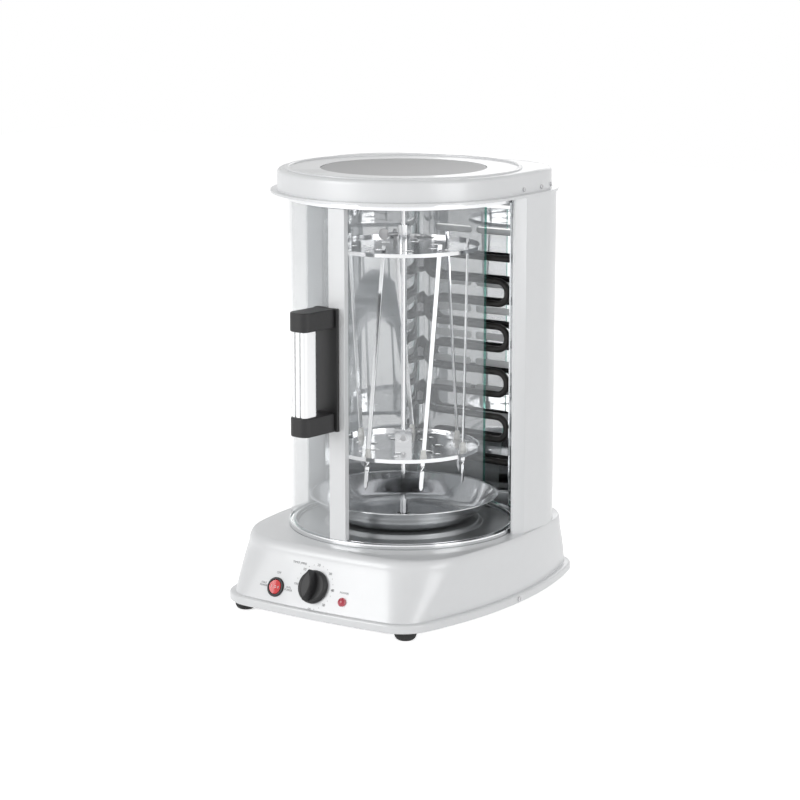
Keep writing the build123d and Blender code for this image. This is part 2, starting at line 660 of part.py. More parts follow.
def make_column(side, nose_y):
    """A side column: the folded strip that frames the door opening."""
    inner = COVER_HALF_WIDTH - COVER_SHEET - SEAT_GAP
    fold = 2 * COVER_SHEET
    back = COVER_FRONT + SLOT_WIDTH
    points = [
        (COLUMN_NOSE_X, nose_y), (COLUMN_NOSE_X + fold, nose_y),
        (COLUMN_NOSE_X + fold, COLUMN_NOSE_Y + SEAT_GAP),
        (COVER_HALF_WIDTH, COVER_FRONT - SEAT_GAP), (inner, COVER_FRONT - SEAT_GAP),
        (inner, back), (inner - fold, back), (inner - fold, COVER_FRONT),
        (COLUMN_NOSE_X + fold, COVER_FRONT - fold), (COLUMN_NOSE_X, COVER_FRONT - fold),
    ]
    face = make_face(Polyline(*[(side * x, y) for x, y in points], close=True))
    return prism(face, SHELL_TOP, CEILING)


def make_cap_flange():
    """The ceiling plate with its rim and the lip that the cap screws to."""
    plate = prism(cap_outline(FLANGE_OVERHANG), CEILING, FLANGE_TOP)
    plate = fillet(plate.edges().group_by(Axis.Z)[-1], FLANGE_SHEET * 0.3)
    lip_height = CAP_HEIGHT / 2.5
    lip = prism(cap_outline(-COVER_SHEET - SEAT_GAP), FLANGE_TOP, FLANGE_TOP + lip_height)
    lip -= prism(cap_outline(-COVER_SHEET * 2.5), FLANGE_TOP - 1, FLANGE_TOP + lip_height + 1)
    plate += lip
    for point, normal in cap_screw_places():
        plate -= facing(point, normal, cylinder(SCREW_RADIUS + SEAT_GAP, -4 * COVER_SHEET, 5))
    return plate - cylinder(UPPER_HUB_RADIUS, CEILING - 1, FLANGE_TOP + 1)


def cap_screw_places():
    """Places and normals of the screws round the foot of the cap."""
    level = FLANGE_TOP + CAP_HEIGHT / 5
    side_end, corner_x = CAP_REAR - CAP_CORNER, CAP_RADIUS - CAP_CORNER
    places = []
    for side in (-1, 1):
        for y in (side_end * 0.4, side_end):
            places.append(((side * CAP_RADIUS, y, level), (side, 0, 0)))
        turn = radians(20)
        normal = (side * cos(turn), sin(turn), 0)
        places.append(((side * (corner_x + CAP_CORNER * cos(turn)),
                        side_end + CAP_CORNER * sin(turn), level), normal))
    return places


def make_cap_screws():
    """The screws round the foot of the cap."""
    body = screw(COVER_SHEET * 2.5, head=SCREW_HEAD_RADIUS * 0.8)
    return group([facing(point, normal, body) for point, normal in cap_screw_places()])


def make_cap_shell():
    """The painted cap with its round ridge and the recess for the warming plate."""
    outer = prism(cap_outline(0), FLANGE_TOP, CAP_TOP)
    outer = fillet(outer.edges().group_by(Axis.Z)[-1], CAP_EDGE)
    cap = outer - prism(cap_outline(-COVER_SHEET), FLANGE_TOP - 1, CAP_TOP - CAP_EDGE)
    cap -= prism(cap_outline(-CAP_EDGE), FLANGE_TOP - 1, CAP_TOP - COVER_SHEET - WARMER_RECESS)
    ridge = ring(RIDGE_RADIUS + RIDGE_WIDTH / 2, RIDGE_RADIUS - RIDGE_WIDTH / 2,
                 CAP_TOP - COVER_SHEET, CAP_TOP + RIDGE_HEIGHT)
    ridge = fillet(ridge.edges().group_by(Axis.Z)[-1], RIDGE_HEIGHT * 0.7)
    cap += ridge
    cap -= cylinder(WARMER_RADIUS + RUN_GAP, CAP_TOP - WARMER_RECESS, CAP_TOP + 1)
    for point, normal in cap_screw_places():
        cap -= facing(point, normal, cylinder(SCREW_RADIUS + SEAT_GAP, -4 * COVER_SHEET, 5))
    return cap


def make_warming_plate():
    """The thin metal plate set in the top of the cap."""
    plate = cylinder(WARMER_RADIUS, CAP_TOP - WARMER_RECESS, CAP_TOP - WARMER_RECESS / 4)
    return fillet(plate.edges().group_by(Axis.Z)[-1], WARMER_RECESS / 4)


def make_upper_bearing():
    """The flanged bush in the ceiling that steadies the top of the shaft."""
    bore = SHAFT_RADIUS + SHAFT_FIT
    bush = ring(UPPER_HUB_RADIUS - SEAT_GAP, bore, CEILING, CEILING + BEARING_SPIGOT)
    return bush + ring(UPPER_HUB_RADIUS * 1.6, bore, CEILING - BEARING_FLANGE, CEILING)


# ------------------------------------------------------------------ heater
def heater_level(run):
    """The level of one straight run of the heater."""
    return HEATER_FIRST_Z + run * HEATER_PITCH


def terminal_levels():
    """The two levels where the heater passes through the reflector's side."""
    return [heater_level(0), heater_level(HEATER_RUNS - 1)]


def make_heater_element():
    """The tubular heater: flat runs joined by half-round bends, both ends to the right."""
    bend = HEATER_PITCH / 2
    inner = HEATER_HALF_WIDTH - HEATER_RADIUS - bend
    end = RECESS_HALF_WIDTH + TERMINAL_LENGTH / 2
    y = HEATER_PLANE
    path = [Line((end, y, heater_level(0)), (HEATER_SHIFT - inner, y, heater_level(0)))]
    for run in range(HEATER_RUNS - 1):
        low, high = heater_level(run), heater_level(run + 1)
        side = -1 if run % 2 == 0 else 1
        start = HEATER_SHIFT + side * inner
        path.append(ThreePointArc((start, y, low), (start + side * bend, y, (low + high) / 2),
                                  (start, y, high)))
        finish = end if run == HEATER_RUNS - 2 else HEATER_SHIFT - side * inner
        path.append(Line((start, y, high), (finish, y, high)))
    section = Plane(origin=(end, y, heater_level(0)), z_dir=(-1, 0, 0)) * Circle(HEATER_RADIUS)
    return sweep(section, path=Wire(path))


def make_heater_terminals():
    """The ceramic sleeves on the ends of the heater, behind the reflector's side."""
    start = RECESS_HALF_WIDTH + MIRROR_SHEET
    sleeves = []
    for level in terminal_levels():
        sleeve = cylinder(TERMINAL_RADIUS, 0, TERMINAL_LENGTH)
        sleeve -= cylinder(HEATER_RADIUS + SEAT_GAP, -1, TERMINAL_LENGTH / 2 + SEAT_GAP
                           - MIRROR_SHEET)
        sleeves.append(facing((start, HEATER_PLANE, level), (1, 0, 0), sleeve))
    return group(sleeves)


def make_heater_clips():
    """Small folded clips that hold the heater's bends to the walls of the recess."""
    clips = []
    wall = RECESS_HALF_WIDTH
    reach = wall - HEATER_HALF_WIDTH
    for run in range(1, HEATER_RUNS - 1):
        side = -1 if run % 2 == 0 else 1
        middle = (heater_level(run) + heater_level(run + 1)) / 2
        low, high = middle - CLIP_WIDTH / 2, middle + CLIP_WIDTH / 2
        start = HEATER_HALF_WIDTH + side * HEATER_SHIFT + SEAT_GAP
        arm = block(start, wall, HEATER_PLANE - CLIP_SHEET / 2, HEATER_PLANE + CLIP_SHEET / 2,
                    low, high)
        arm += block(wall - CLIP_SHEET, wall, HEATER_PLANE - reach / 3, HEATER_PLANE + reach / 3,
                     low, high)
        clips.append(arm if side > 0 else mirror(arm, Plane.YZ))
    return group(clips)


# ------------------------------------------------------------------ drive and wiring
def make_motor_bracket():
    """The plate under the floor that carries the gearmotor, bent up at its ends."""
    half, top = BRACKET_REACH, GEARBOX_TOP + BRACKET_SHEET
    plate = block(-BRACKET_WIDTH / 2, BRACKET_WIDTH / 2, -half, half, GEARBOX_TOP, top)
    for end in (-1, 1):
        y0, y1 = sorted((end * (half - BRACKET_SHEET), end * half))
        plate += block(-BRACKET_WIDTH / 2, BRACKET_WIDTH / 2, y0, y1, top,
                       STEP_TOP - FLOOR_SHEET)
    return plate - cylinder(SOCKET_RADIUS * 1.5, GEARBOX_TOP - 1, top + 1)


def make_gearbox():
    """The reduction gearbox under the floor."""
    box_part = block(-GEARBOX_WIDTH / 2, GEARBOX_WIDTH / 2, -GEARBOX_LENGTH / 2 - GEARBOX_SETBACK,
                     GEARBOX_LENGTH / 2 - GEARBOX_SETBACK, GEARBOX_TOP - GEARBOX_HEIGHT,
                     GEARBOX_TOP)
    return fillet(box_part.edges().filter_by(Axis.Z), GEARBOX_WIDTH / 8)


def make_drive_motor():
    """The small round motor that hangs below the gearbox."""
    top = GEARBOX_TOP - GEARBOX_HEIGHT
    can = cylinder(MOTOR_RADIUS, top - MOTOR_HEIGHT, top, 0, -GEARBOX_SETBACK)
    return fillet(can.edges().group_by(Axis.Z)[0], MOTOR_HEIGHT / 8)


def make_floor_bush():
    """The bush in the floor that the drive socket turns in."""
    bottom, bore = STEP_TOP - FLOOR_BUSH_HEIGHT, SOCKET_RADIUS + SHAFT_FIT
    bush = ring(SOCKET_RADIUS * 2 - SEAT_GAP, bore, bottom, STEP_TOP)
    return bush + ring(SOCKET_RADIUS * 3, bore, bottom, STEP_TOP - FLOOR_SHEET)


def make_terminal_block():
    """The block inside the base where the wires are joined."""
    x, y, floor = GLAND_X, TRAY_HALF_DEPTH / 2, TRAY_BOTTOM + SHEET
    top = floor + BLOCK_HEIGHT
    body = block(x - BLOCK_WIDTH / 2, x + BLOCK_WIDTH / 2, y - BLOCK_DEPTH / 2,
                 y + BLOCK_DEPTH / 2, floor, top)
    for index in (-1, 0, 1):
        body -= cylinder(BLOCK_HOLE_RADIUS, top - BLOCK_HOLE_DEPTH, top + 1,
                         x + index * BLOCK_PITCH, y)
    return body


# ------------------------------------------------------------------ turning cage
def skewer_azimuths():
    """The azimuth of each skewer at the lower disc."""
    return [POST_AZIMUTH + index * 360 / SKEWER_COUNT for index in range(SKEWER_COUNT)]


def skewer_point(azimuth, z):
    """Where the straight line of one leaning skewer stands at a level."""
    low = Vector(*polar(SKEWER_CIRCLE, azimuth, LOWER_DISC_Z))
    high = Vector(*polar(SKEWER_CIRCLE, azimuth + SKEWER_TWIST, UPPER_DISC_Z))
    return low + (high - low) * ((z - LOWER_DISC_Z) / (UPPER_DISC_Z - LOWER_DISC_Z))


def skewer_plane(azimuth, z):
    """The cross-section plane of a leaning skewer, with X round the drum."""
    axis = skewer_point(azimuth, UPPER_DISC_Z) - skewer_point(azimuth, LOWER_DISC_Z)
    tangent = Vector(-sin(radians(azimuth)), cos(radians(azimuth)), 0)
    return Plane(origin=skewer_point(azimuth, z), x_dir=tangent, z_dir=axis)


def make_skewers():
    """The flat pointed skewers, leaning from the lower disc to the upper one."""
    low, high = SKEWER_TIP_Z, UPPER_DISC_Z + SKEWER_HEAD
    half = SKEWER_WIDTH / 2
    lean = skewer_plane(0, low)
    length = (high - low) / lean.z_dir.Z
    outline = Polyline((0, 0), (half, 2 * SKEWER_WIDTH), (half, length), (-half, length),
                       (-half, 2 * SKEWER_WIDTH), close=True)
    blade = extrude(make_face(outline), SKEWER_THICKNESS / 2, both=True)
    blade = Rot(90, 0, 0) * blade
    return group([skewer_plane(azimuth, low).location * blade for azimuth in skewer_azimuths()])


def blade_cutter(azimuth, z, depth, gap):
    """A clearance cut for one skewer where it passes a level."""
    cut = Box(SKEWER_WIDTH + 2 * gap, SKEWER_THICKNESS + 2 * gap, depth)
    return skewer_plane(azimuth, z).location * cut


def make_disc(bottom, twist):
    """A round plate with a turned-up lip, a slot for each skewer and lightening holes."""
    disc = cylinder(DISC_RADIUS, bottom, bottom + DISC_SHEET)
    disc += ring(DISC_RADIUS, DISC_RADIUS - DISC_SHEET, bottom, bottom + DISC_LIP)
    disc -= cylinder(SHAFT_RADIUS + SEAT_GAP, bottom - 1, bottom + 3)
    for azimuth in skewer_azimuths():
        disc -= blade_cutter(azimuth, bottom, DISC_LIP * 2, SEAT_GAP)
        for circle, size in ((HOLE_CIRCLE, HOLE_RADIUS), (SMALL_HOLE_CIRCLE, SMALL_HOLE_RADIUS)):
            x, y, _ = polar(circle, azimuth + twist + 180 / SKEWER_COUNT)
            disc -= cylinder(size, bottom - 1, bottom + DISC_SHEET + 1, x, y)
    return disc


def make_skewer_bushes():
    """The pale heat-proof bushes that hold the skewers on the lower disc."""
    bushes = []
    bottom = LOWER_DISC_Z + DISC_SHEET
    for azimuth in skewer_azimuths():
        centre = skewer_point(azimuth, bottom + BUSH_HEIGHT / 2)
        bush = cylinder(BUSH_RADIUS, bottom, bottom + BUSH_HEIGHT, centre.X, centre.Y)
        bush = fillet(bush.edges().group_by(Axis.Z)[-1], BUSH_RADIUS / 4)
        cut = blade_cutter(azimuth, bottom + BUSH_HEIGHT / 2, BUSH_HEIGHT * 2, SEAT_GAP)
        bushes.append(bush - cut)
    return group(bushes)


def make_lower_hub():
    """The folded box hub that clamps the lower disc to the shaft."""
    half, bottom = HUB_SIZE / 2, LOWER_DISC_Z + DISC_SHEET
    hub = block(-half, half, -half / 2, half / 2, bottom, bottom + HUB_HEIGHT)
    hub -= cylinder(SHAFT_RADIUS + SEAT_GAP, bottom - 1, bottom + HUB_HEIGHT + 1)
    hub -= facing((0, -half, bottom + HUB_HEIGHT / 2), (0, -1, 0),
                  cylinder(THUMB_SHANK_RADIUS + SEAT_GAP, -half, 1))
    return Rot(0, 0, -POST_AZIMUTH / 3) * hub


def make_upper_hub():
    """The round hub that clamps the upper disc to the shaft."""
    bottom = UPPER_DISC_Z + DISC_SHEET
    hub = ring(UPPER_HUB_RADIUS, SHAFT_RADIUS + SEAT_GAP, bottom, bottom + UPPER_HUB_HEIGHT)
    hub -= facing(polar(UPPER_HUB_RADIUS, THUMB_SCREW_AZIMUTH, thumb_level()), thumb_axis(),
                  cylinder(THUMB_SHANK_RADIUS + SHAFT_FIT, -UPPER_HUB_RADIUS, 1))
    return hub


def make_hub_screw():
    """The set screw in the lower hub."""
    half, bottom = HUB_SIZE / 2, LOWER_DISC_Z + DISC_SHEET
    body = screw(half / 2 - SHAFT_RADIUS - SEAT_GAP, radius=THUMB_SHANK_RADIUS,
                 head=THUMB_SHANK_RADIUS * 1.8)
    placed = facing((0, -half / 2, bottom + HUB_HEIGHT / 2), (0, -1, 0), body)
    return Rot(0, 0, -POST_AZIMUTH / 3) * placed


def thumb_level():
    """The level of the thumb screw."""
    return UPPER_DISC_Z + DISC_SHEET + THUMB_RISE


def thumb_axis():
    """The direction in which the thumb screw points out of the hub."""
    return (cos(radians(THUMB_SCREW_AZIMUTH)), sin(radians(THUMB_SCREW_AZIMUTH)), 0)


def make_thumb_screw():
    """The flat-headed thumb screw that locks the upper hub to the shaft."""
    start = SHAFT_RADIUS + SEAT_GAP - UPPER_HUB_RADIUS + RUN_GAP
    shank = cylinder(THUMB_SHANK_RADIUS, start, THUMB_SHANK_LENGTH)
    head = Rot(0, 90, 0) * Cylinder(WING_RADIUS, WING_THICKNESS)
    head = fillet(head.edges(), WING_THICKNESS / 4)
    body = shank + Pos(0, 0, THUMB_SHANK_LENGTH + WING_RADIUS * 0.7) * head
    return facing(polar(UPPER_HUB_RADIUS, THUMB_SCREW_AZIMUTH, thumb_level()), thumb_axis(), body)


def make_drive_socket():
    """The output sleeve of the gearbox, bored for the foot of the shaft."""
    sleeve = cylinder(SOCKET_RADIUS, SOCKET_BOTTOM, SOCKET_TOP)
    return sleeve - cylinder(SHAFT_RADIUS + SEAT_GAP, SHAFT_BOTTOM - SEAT_GAP, SOCKET_TOP + 1)


def make_cage_shaft():
    """The upright shaft of the cage, with a chamfered foot and head."""
    shaft = cylinder(SHAFT_RADIUS, SHAFT_BOTTOM, SHAFT_TOP)
    return chamfer(shaft.edges(), SHAFT_RADIUS / 5)


# ------------------------------------------------------------------ door
def make_door_glass():
    """The curved pane that slides round the drum."""
    return sector(GLASS_RADIUS, GLASS_INNER, GLASS_START - GLASS_SPAN, GLASS_START,
                  GLASS_BOTTOM, GLASS_TOP)


def make_door_post():
    """The painted upright on the door's front edge, grooved for the glass."""
    start, end = POST_AZIMUTH - POST_HALF_ANGLE, POST_AZIMUTH + POST_HALF_ANGLE
    post = sector(POST_OUTER, POST_INNER, start, end, POST_BOTTOM, POST_TOP)
    groove = sector(GLASS_RADIUS + SEAT_GAP, GLASS_INNER - SEAT_GAP, start - 1,
                    GLASS_START + degrees(SEAT_GAP / GLASS_RADIUS), POST_BOTTOM - 1, POST_TOP + 1)
    return post - groove


def make_door_guides():
    """The short pins under and over the post that run in the tracks."""
    radius = (TRACK_OUTER - TRACK_INNER) / 2 - RUN_GAP
    x, y, _ = polar((TRACK_OUTER + TRACK_INNER) / 2, POST_AZIMUTH + POST_HALF_ANGLE / 2)
    low = cylinder(radius, GLASS_BOTTOM, POST_BOTTOM, x, y)
    high = cylinder(radius, POST_TOP, GLASS_TOP, x, y)
    return group([low, high])


def handle_frame(part):
    """A part drawn with +X outwards, turned to the handle's azimuth."""
    return Rot(0, 0, HANDLE_AZIMUTH) * part


def make_handle_plate():
    """The long back plate of the handle, curved to lie on the post and glass."""
    half_angle = degrees(HANDLE_PLATE_WIDTH / 2 / PLATE_INNER)
    top = HANDLE_BOTTOM_Z + HANDLE_HEIGHT
    return handle_frame(sector(PLATE_OUTER, PLATE_INNER, -half_angle, half_angle,
                               HANDLE_BOTTOM_Z, top))


def make_handle_pads():
    """Two pads that fill the step between the handle's plate and the glass."""
    end = POST_AZIMUTH - POST_HALF_ANGLE - degrees(RUN_GAP / GLASS_RADIUS)
    start = HANDLE_AZIMUTH - degrees((HANDLE_PLATE_WIDTH / 2 - FLUTE_DEPTH) / PLATE_INNER)
    pads = []
    for level in handle_screw_levels():
        pads.append(sector(PLATE_INNER, GLASS_RADIUS, start, end,
                           level - HANDLE_ARM_HEIGHT / 2, level + HANDLE_ARM_HEIGHT / 2))
    return group(pads)


def handle_screw_levels():
    """The levels of the two arms' middles."""
    return [HANDLE_BOTTOM_Z + HANDLE_ARM_HEIGHT / 2,
            HANDLE_BOTTOM_Z + HANDLE_HEIGHT - HANDLE_ARM_HEIGHT / 2]


def make_handle_arm(level):
    """One arm of the handle: a tapered block from the plate out round the grip's end."""
    half = HANDLE_ARM_WIDTH / 2
    low, high = level - HANDLE_ARM_HEIGHT / 2, level + HANDLE_ARM_HEIGHT / 2
    foot = sqrt(PLATE_OUTER ** 2 - half ** 2)
    outline = [
        ThreePointArc((foot, -half), (PLATE_OUTER, 0), (foot, half)),
        Line((foot, half), (GRIP_OUTER, half)),
        Line((GRIP_OUTER, half), (GRIP_OUTER, -half)),
        Line((GRIP_OUTER, -half), (foot, -half)),
    ]
    arm = prism(make_face(outline), low, high)
    arm = fillet(arm.edges().filter_by(Axis.Z).group_by(Axis.X)[-1], half / 3)
    return handle_frame(arm)


def make_handle_grip():
    """The fluted bright grip between the arms."""
    low = HANDLE_BOTTOM_Z + HANDLE_ARM_HEIGHT
    high = HANDLE_BOTTOM_Z + HANDLE_HEIGHT - HANDLE_ARM_HEIGHT
    half = GRIP_WIDTH / 2
    outer = GRIP_OUTER - GRIP_RECESS
    grip = block(GRIP_INNER, outer, -half, half, low, high)
    grip = fillet(grip.edges().filter_by(Axis.Z), GRIP_DEPTH / 5)
    pitch = GRIP_WIDTH / (GRIP_FLUTES + 1)
    for index in range(GRIP_FLUTES):
        y = -half + pitch * (index + 1)
        grip -= block(outer - FLUTE_DEPTH, outer + 1, y - FLUTE_WIDTH / 2, y + FLUTE_WIDTH / 2,
                      low - 1, high + 1)
    return handle_frame(grip)


# ------------------------------------------------------------------ controls
def make_timer_knob():
    """The black timer knob: a round skirt with a lens-shaped grip across it."""
    skirt = cylinder(KNOB_RADIUS, RUN_GAP, KNOB_SKIRT)
    skirt = fillet(skirt.edges().group_by(Axis.Z)[-1], KNOB_SKIRT / 4)
    reach = KNOB_RADIUS * 0.94
    half = KNOB_GRIP_WIDTH / 2
    lens = make_face([ThreePointArc((0, -reach), (half, 0), (0, reach)),
                      ThreePointArc((0, reach), (-half, 0), (0, -reach))])
    grip = Pos(0, 0, KNOB_SKIRT - 1) * extrude(lens, KNOB_HEIGHT - KNOB_SKIRT + 1, dir=UP)
    knob = skirt + grip
    knob -= cylinder(SPINDLE_RADIUS + SEAT_GAP, -1, KNOB_SKIRT)
    return on_panel(KNOB_X, KNOB_RISE, knob)


def make_timer_spindle():
    """The timer's spindle, which the knob is pushed on to."""
    depth = SHEET + RUN_GAP
    spindle = cylinder(SPINDLE_RADIUS, -depth, KNOB_SKIRT - SEAT_GAP)
    return on_panel(KNOB_X, KNOB_RISE, spindle)


def make_timer_body():
    """The clockwork timer behind the panel, with its threaded nose through the panel."""
    depth = SHEET + 2 * RUN_GAP
    nose = SCREW_RADIUS + SPINDLE_RADIUS - SEAT_GAP
    body = Pos(0, 0, -depth - TIMER_DEPTH / 2) * Box(TIMER_WIDTH, TIMER_WIDTH, TIMER_DEPTH)
    body += ring(nose, SPINDLE_RADIUS + SHAFT_FIT, -depth - 1, 0)
    body -= cylinder(SPINDLE_RADIUS + SHAFT_FIT, -depth - 2, 1)
    return on_panel(KNOB_X, KNOB_RISE, body)


def make_switch_body():
    """The power switch: a black round bezel on a body that snaps into the panel."""
    bezel = cylinder(BEZEL_RADIUS, 0, BEZEL_HEIGHT)
    bezel = fillet(bezel.edges().group_by(Axis.Z)[-1], BEZEL_HEIGHT / 2)
    body = bezel + cylinder(SWITCH_RADIUS, -SWITCH_LENGTH, 0)
    body -= cylinder(ROCKER_RADIUS + RUN_GAP, -ROCKER_RADIUS * 0.9, BEZEL_HEIGHT + 1)
    return on_panel(ROCKER_X, ROCKER_RISE, body)


def make_rocker():
    """The red three-position rocker, dished between its two ends."""
    depth = ROCKER_RADIUS * 0.7
    rocker = cylinder(ROCKER_RADIUS - RUN_GAP, -depth, BEZEL_HEIGHT * 1.4)
    dish_radius = ROCKER_RADIUS * 4
    dish = Rot(90, 0, 0) * Cylinder(dish_radius, ROCKER_RADIUS * 3)
    rocker -= Pos(0, 0, dish_radius + BEZEL_HEIGHT * 0.7) * dish
    limit = Rot(90, 0, 0) * Cylinder(ROCKER_RADIUS, ROCKER_RADIUS * 3)
    return on_panel(ROCKER_X, ROCKER_RISE, rocker & limit)


def make_lamp_bezel():
    """The ring that holds the indicator lamp in the panel."""
    bezel = ring(LAMP_RADIUS, LAMP_RADIUS - SHEET, 0, SHEET)
    bezel += ring(LAMP_RADIUS - SHEET, LAMP_RADIUS - 1.5 * SHEET, -LAMP_LENGTH, SHEET)
    return on_panel(LAMP_X, LAMP_RISE, bezel)


def make_lamp_lens():
    """The red domed lens of the indicator lamp."""
    radius = LAMP_RADIUS - 1.5 * SHEET - SEAT_GAP
    lens = cylinder(radius, -LENS_LENGTH, SHEET)
    cap = cylinder(LAMP_RADIUS - SHEET / 2, SHEET, 2.2 * SHEET)
    cap = fillet(cap.edges().group_by(Axis.Z)[-1], SHEET)
    return on_panel(LAMP_X, LAMP_RISE, lens + cap)


# ------------------------------------------------------------------ all nodes
NODES = {
    "base_tray": make_base_tray,
    "rubber_feet": make_rubber_feet,
    "foot_screws": make_foot_screws,
    "tray_screws": make_tray_screws,
    "base_shell": make_base_shell,
    "cord_gland": make_cord_gland,
    "terminal_block": make_terminal_block,
    "floor_plate": make_floor_plate,
    "lower_track": make_lower_track,
    "upper_track": make_upper_track,
    "reflector": make_reflector,
    "rear_cover": make_rear_cover,
    "rear_posts": make_rear_posts,
    "cover_screws": make_cover_screws,
    "left_column": lambda: make_column(-1, LEFT_NOSE_Y),
    "right_column": lambda: make_column(1, COLUMN_NOSE_Y),
    "cap_flange": make_cap_flange,
    "cap_shell": make_cap_shell,
    "cap_screws": make_cap_screws,
    "warming_plate": make_warming_plate,
    "upper_bearing": make_upper_bearing,
    "heater_element": make_heater_element,
    "heater_terminals": make_heater_terminals,
    "heater_clips": make_heater_clips,
    "motor_bracket": make_motor_bracket,
    "gearbox": make_gearbox,
    "drive_motor": make_drive_motor,
    "floor_bush": make_floor_bush,
    "timer_body": make_timer_body,
    "switch_body": make_switch_body,
    "lamp_bezel": make_lamp_bezel,
    "lamp_lens": make_lamp_lens,
    "drip_pan": make_drip_pan,
    "drive_socket": make_drive_socket,
    "cage_shaft": make_cage_shaft,
    "lower_disc": lambda: make_disc(LOWER_DISC_Z, 0),
    "upper_disc": lambda: make_disc(UPPER_DISC_Z, SKEWER_TWIST),
    "lower_hub": make_lower_hub,
    "upper_hub": make_upper_hub,
    "hub_screw": make_hub_screw,
    "skewers": make_skewers,
    "skewer_bushes": make_skewer_bushes,
    "thumb_screw": make_thumb_screw,
    "door_glass": make_door_glass,
    "door_post": make_door_post,
    "door_guides": make_door_guides,
    "handle_plate": make_handle_plate,
    "handle_pads": make_handle_pads,
    "handle_lower_arm": lambda: make_handle_arm(handle_screw_levels()[0]),
    "handle_upper_arm": lambda: make_handle_arm(handle_screw_levels()[1]),
    "handle_grip": make_handle_grip,
    "timer_knob": make_timer_knob,
    "timer_spindle": make_timer_spindle,
    "rocker": make_rocker,
}

os.makedirs("parts", exist_ok=True)
for name, make in NODES.items():
    export_step(make(), f"parts/{name}.step")
    print(name)
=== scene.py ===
"""Looks of the electric skewer grill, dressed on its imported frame.

Metres, +Z up, the drum's axis on Z and the control panel towards -Y.  Azimuths are degrees
counter-clockwise from +X.
"""
import logging
import math
from dataclasses import dataclass, field
from enum import Enum
from typing import Iterable, Sequence

import bmesh
import bpy
from mathutils import Matrix, Vector


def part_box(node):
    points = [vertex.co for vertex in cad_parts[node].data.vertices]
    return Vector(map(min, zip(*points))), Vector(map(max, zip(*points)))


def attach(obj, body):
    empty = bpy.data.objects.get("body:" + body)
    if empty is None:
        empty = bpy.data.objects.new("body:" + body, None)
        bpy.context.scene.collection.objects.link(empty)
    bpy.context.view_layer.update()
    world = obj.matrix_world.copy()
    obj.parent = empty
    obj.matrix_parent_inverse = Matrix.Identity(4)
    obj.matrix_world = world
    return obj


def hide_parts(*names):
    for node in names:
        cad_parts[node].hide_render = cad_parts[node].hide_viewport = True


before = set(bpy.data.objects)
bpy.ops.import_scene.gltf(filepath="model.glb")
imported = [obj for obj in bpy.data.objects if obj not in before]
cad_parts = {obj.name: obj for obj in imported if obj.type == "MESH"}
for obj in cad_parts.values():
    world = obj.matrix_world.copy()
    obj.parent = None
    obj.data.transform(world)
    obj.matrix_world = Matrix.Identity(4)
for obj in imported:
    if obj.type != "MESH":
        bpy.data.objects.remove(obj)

LOG = logging.getLogger("skewer_grill")
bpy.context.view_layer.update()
Point = tuple[float, float, float]
Flat = tuple[float, float]


# ------------------------------------------------------------------ finishes
class Direction(Enum):
    """Which way the grain of a finish is drawn out, as scales of a Mapping node."""

    EVEN = (1.0, 1.0, 1.0)
    UPRIGHT = (1.0, 1.0, 0.04)
    LEVEL = (0.08, 0.08, 1.0)


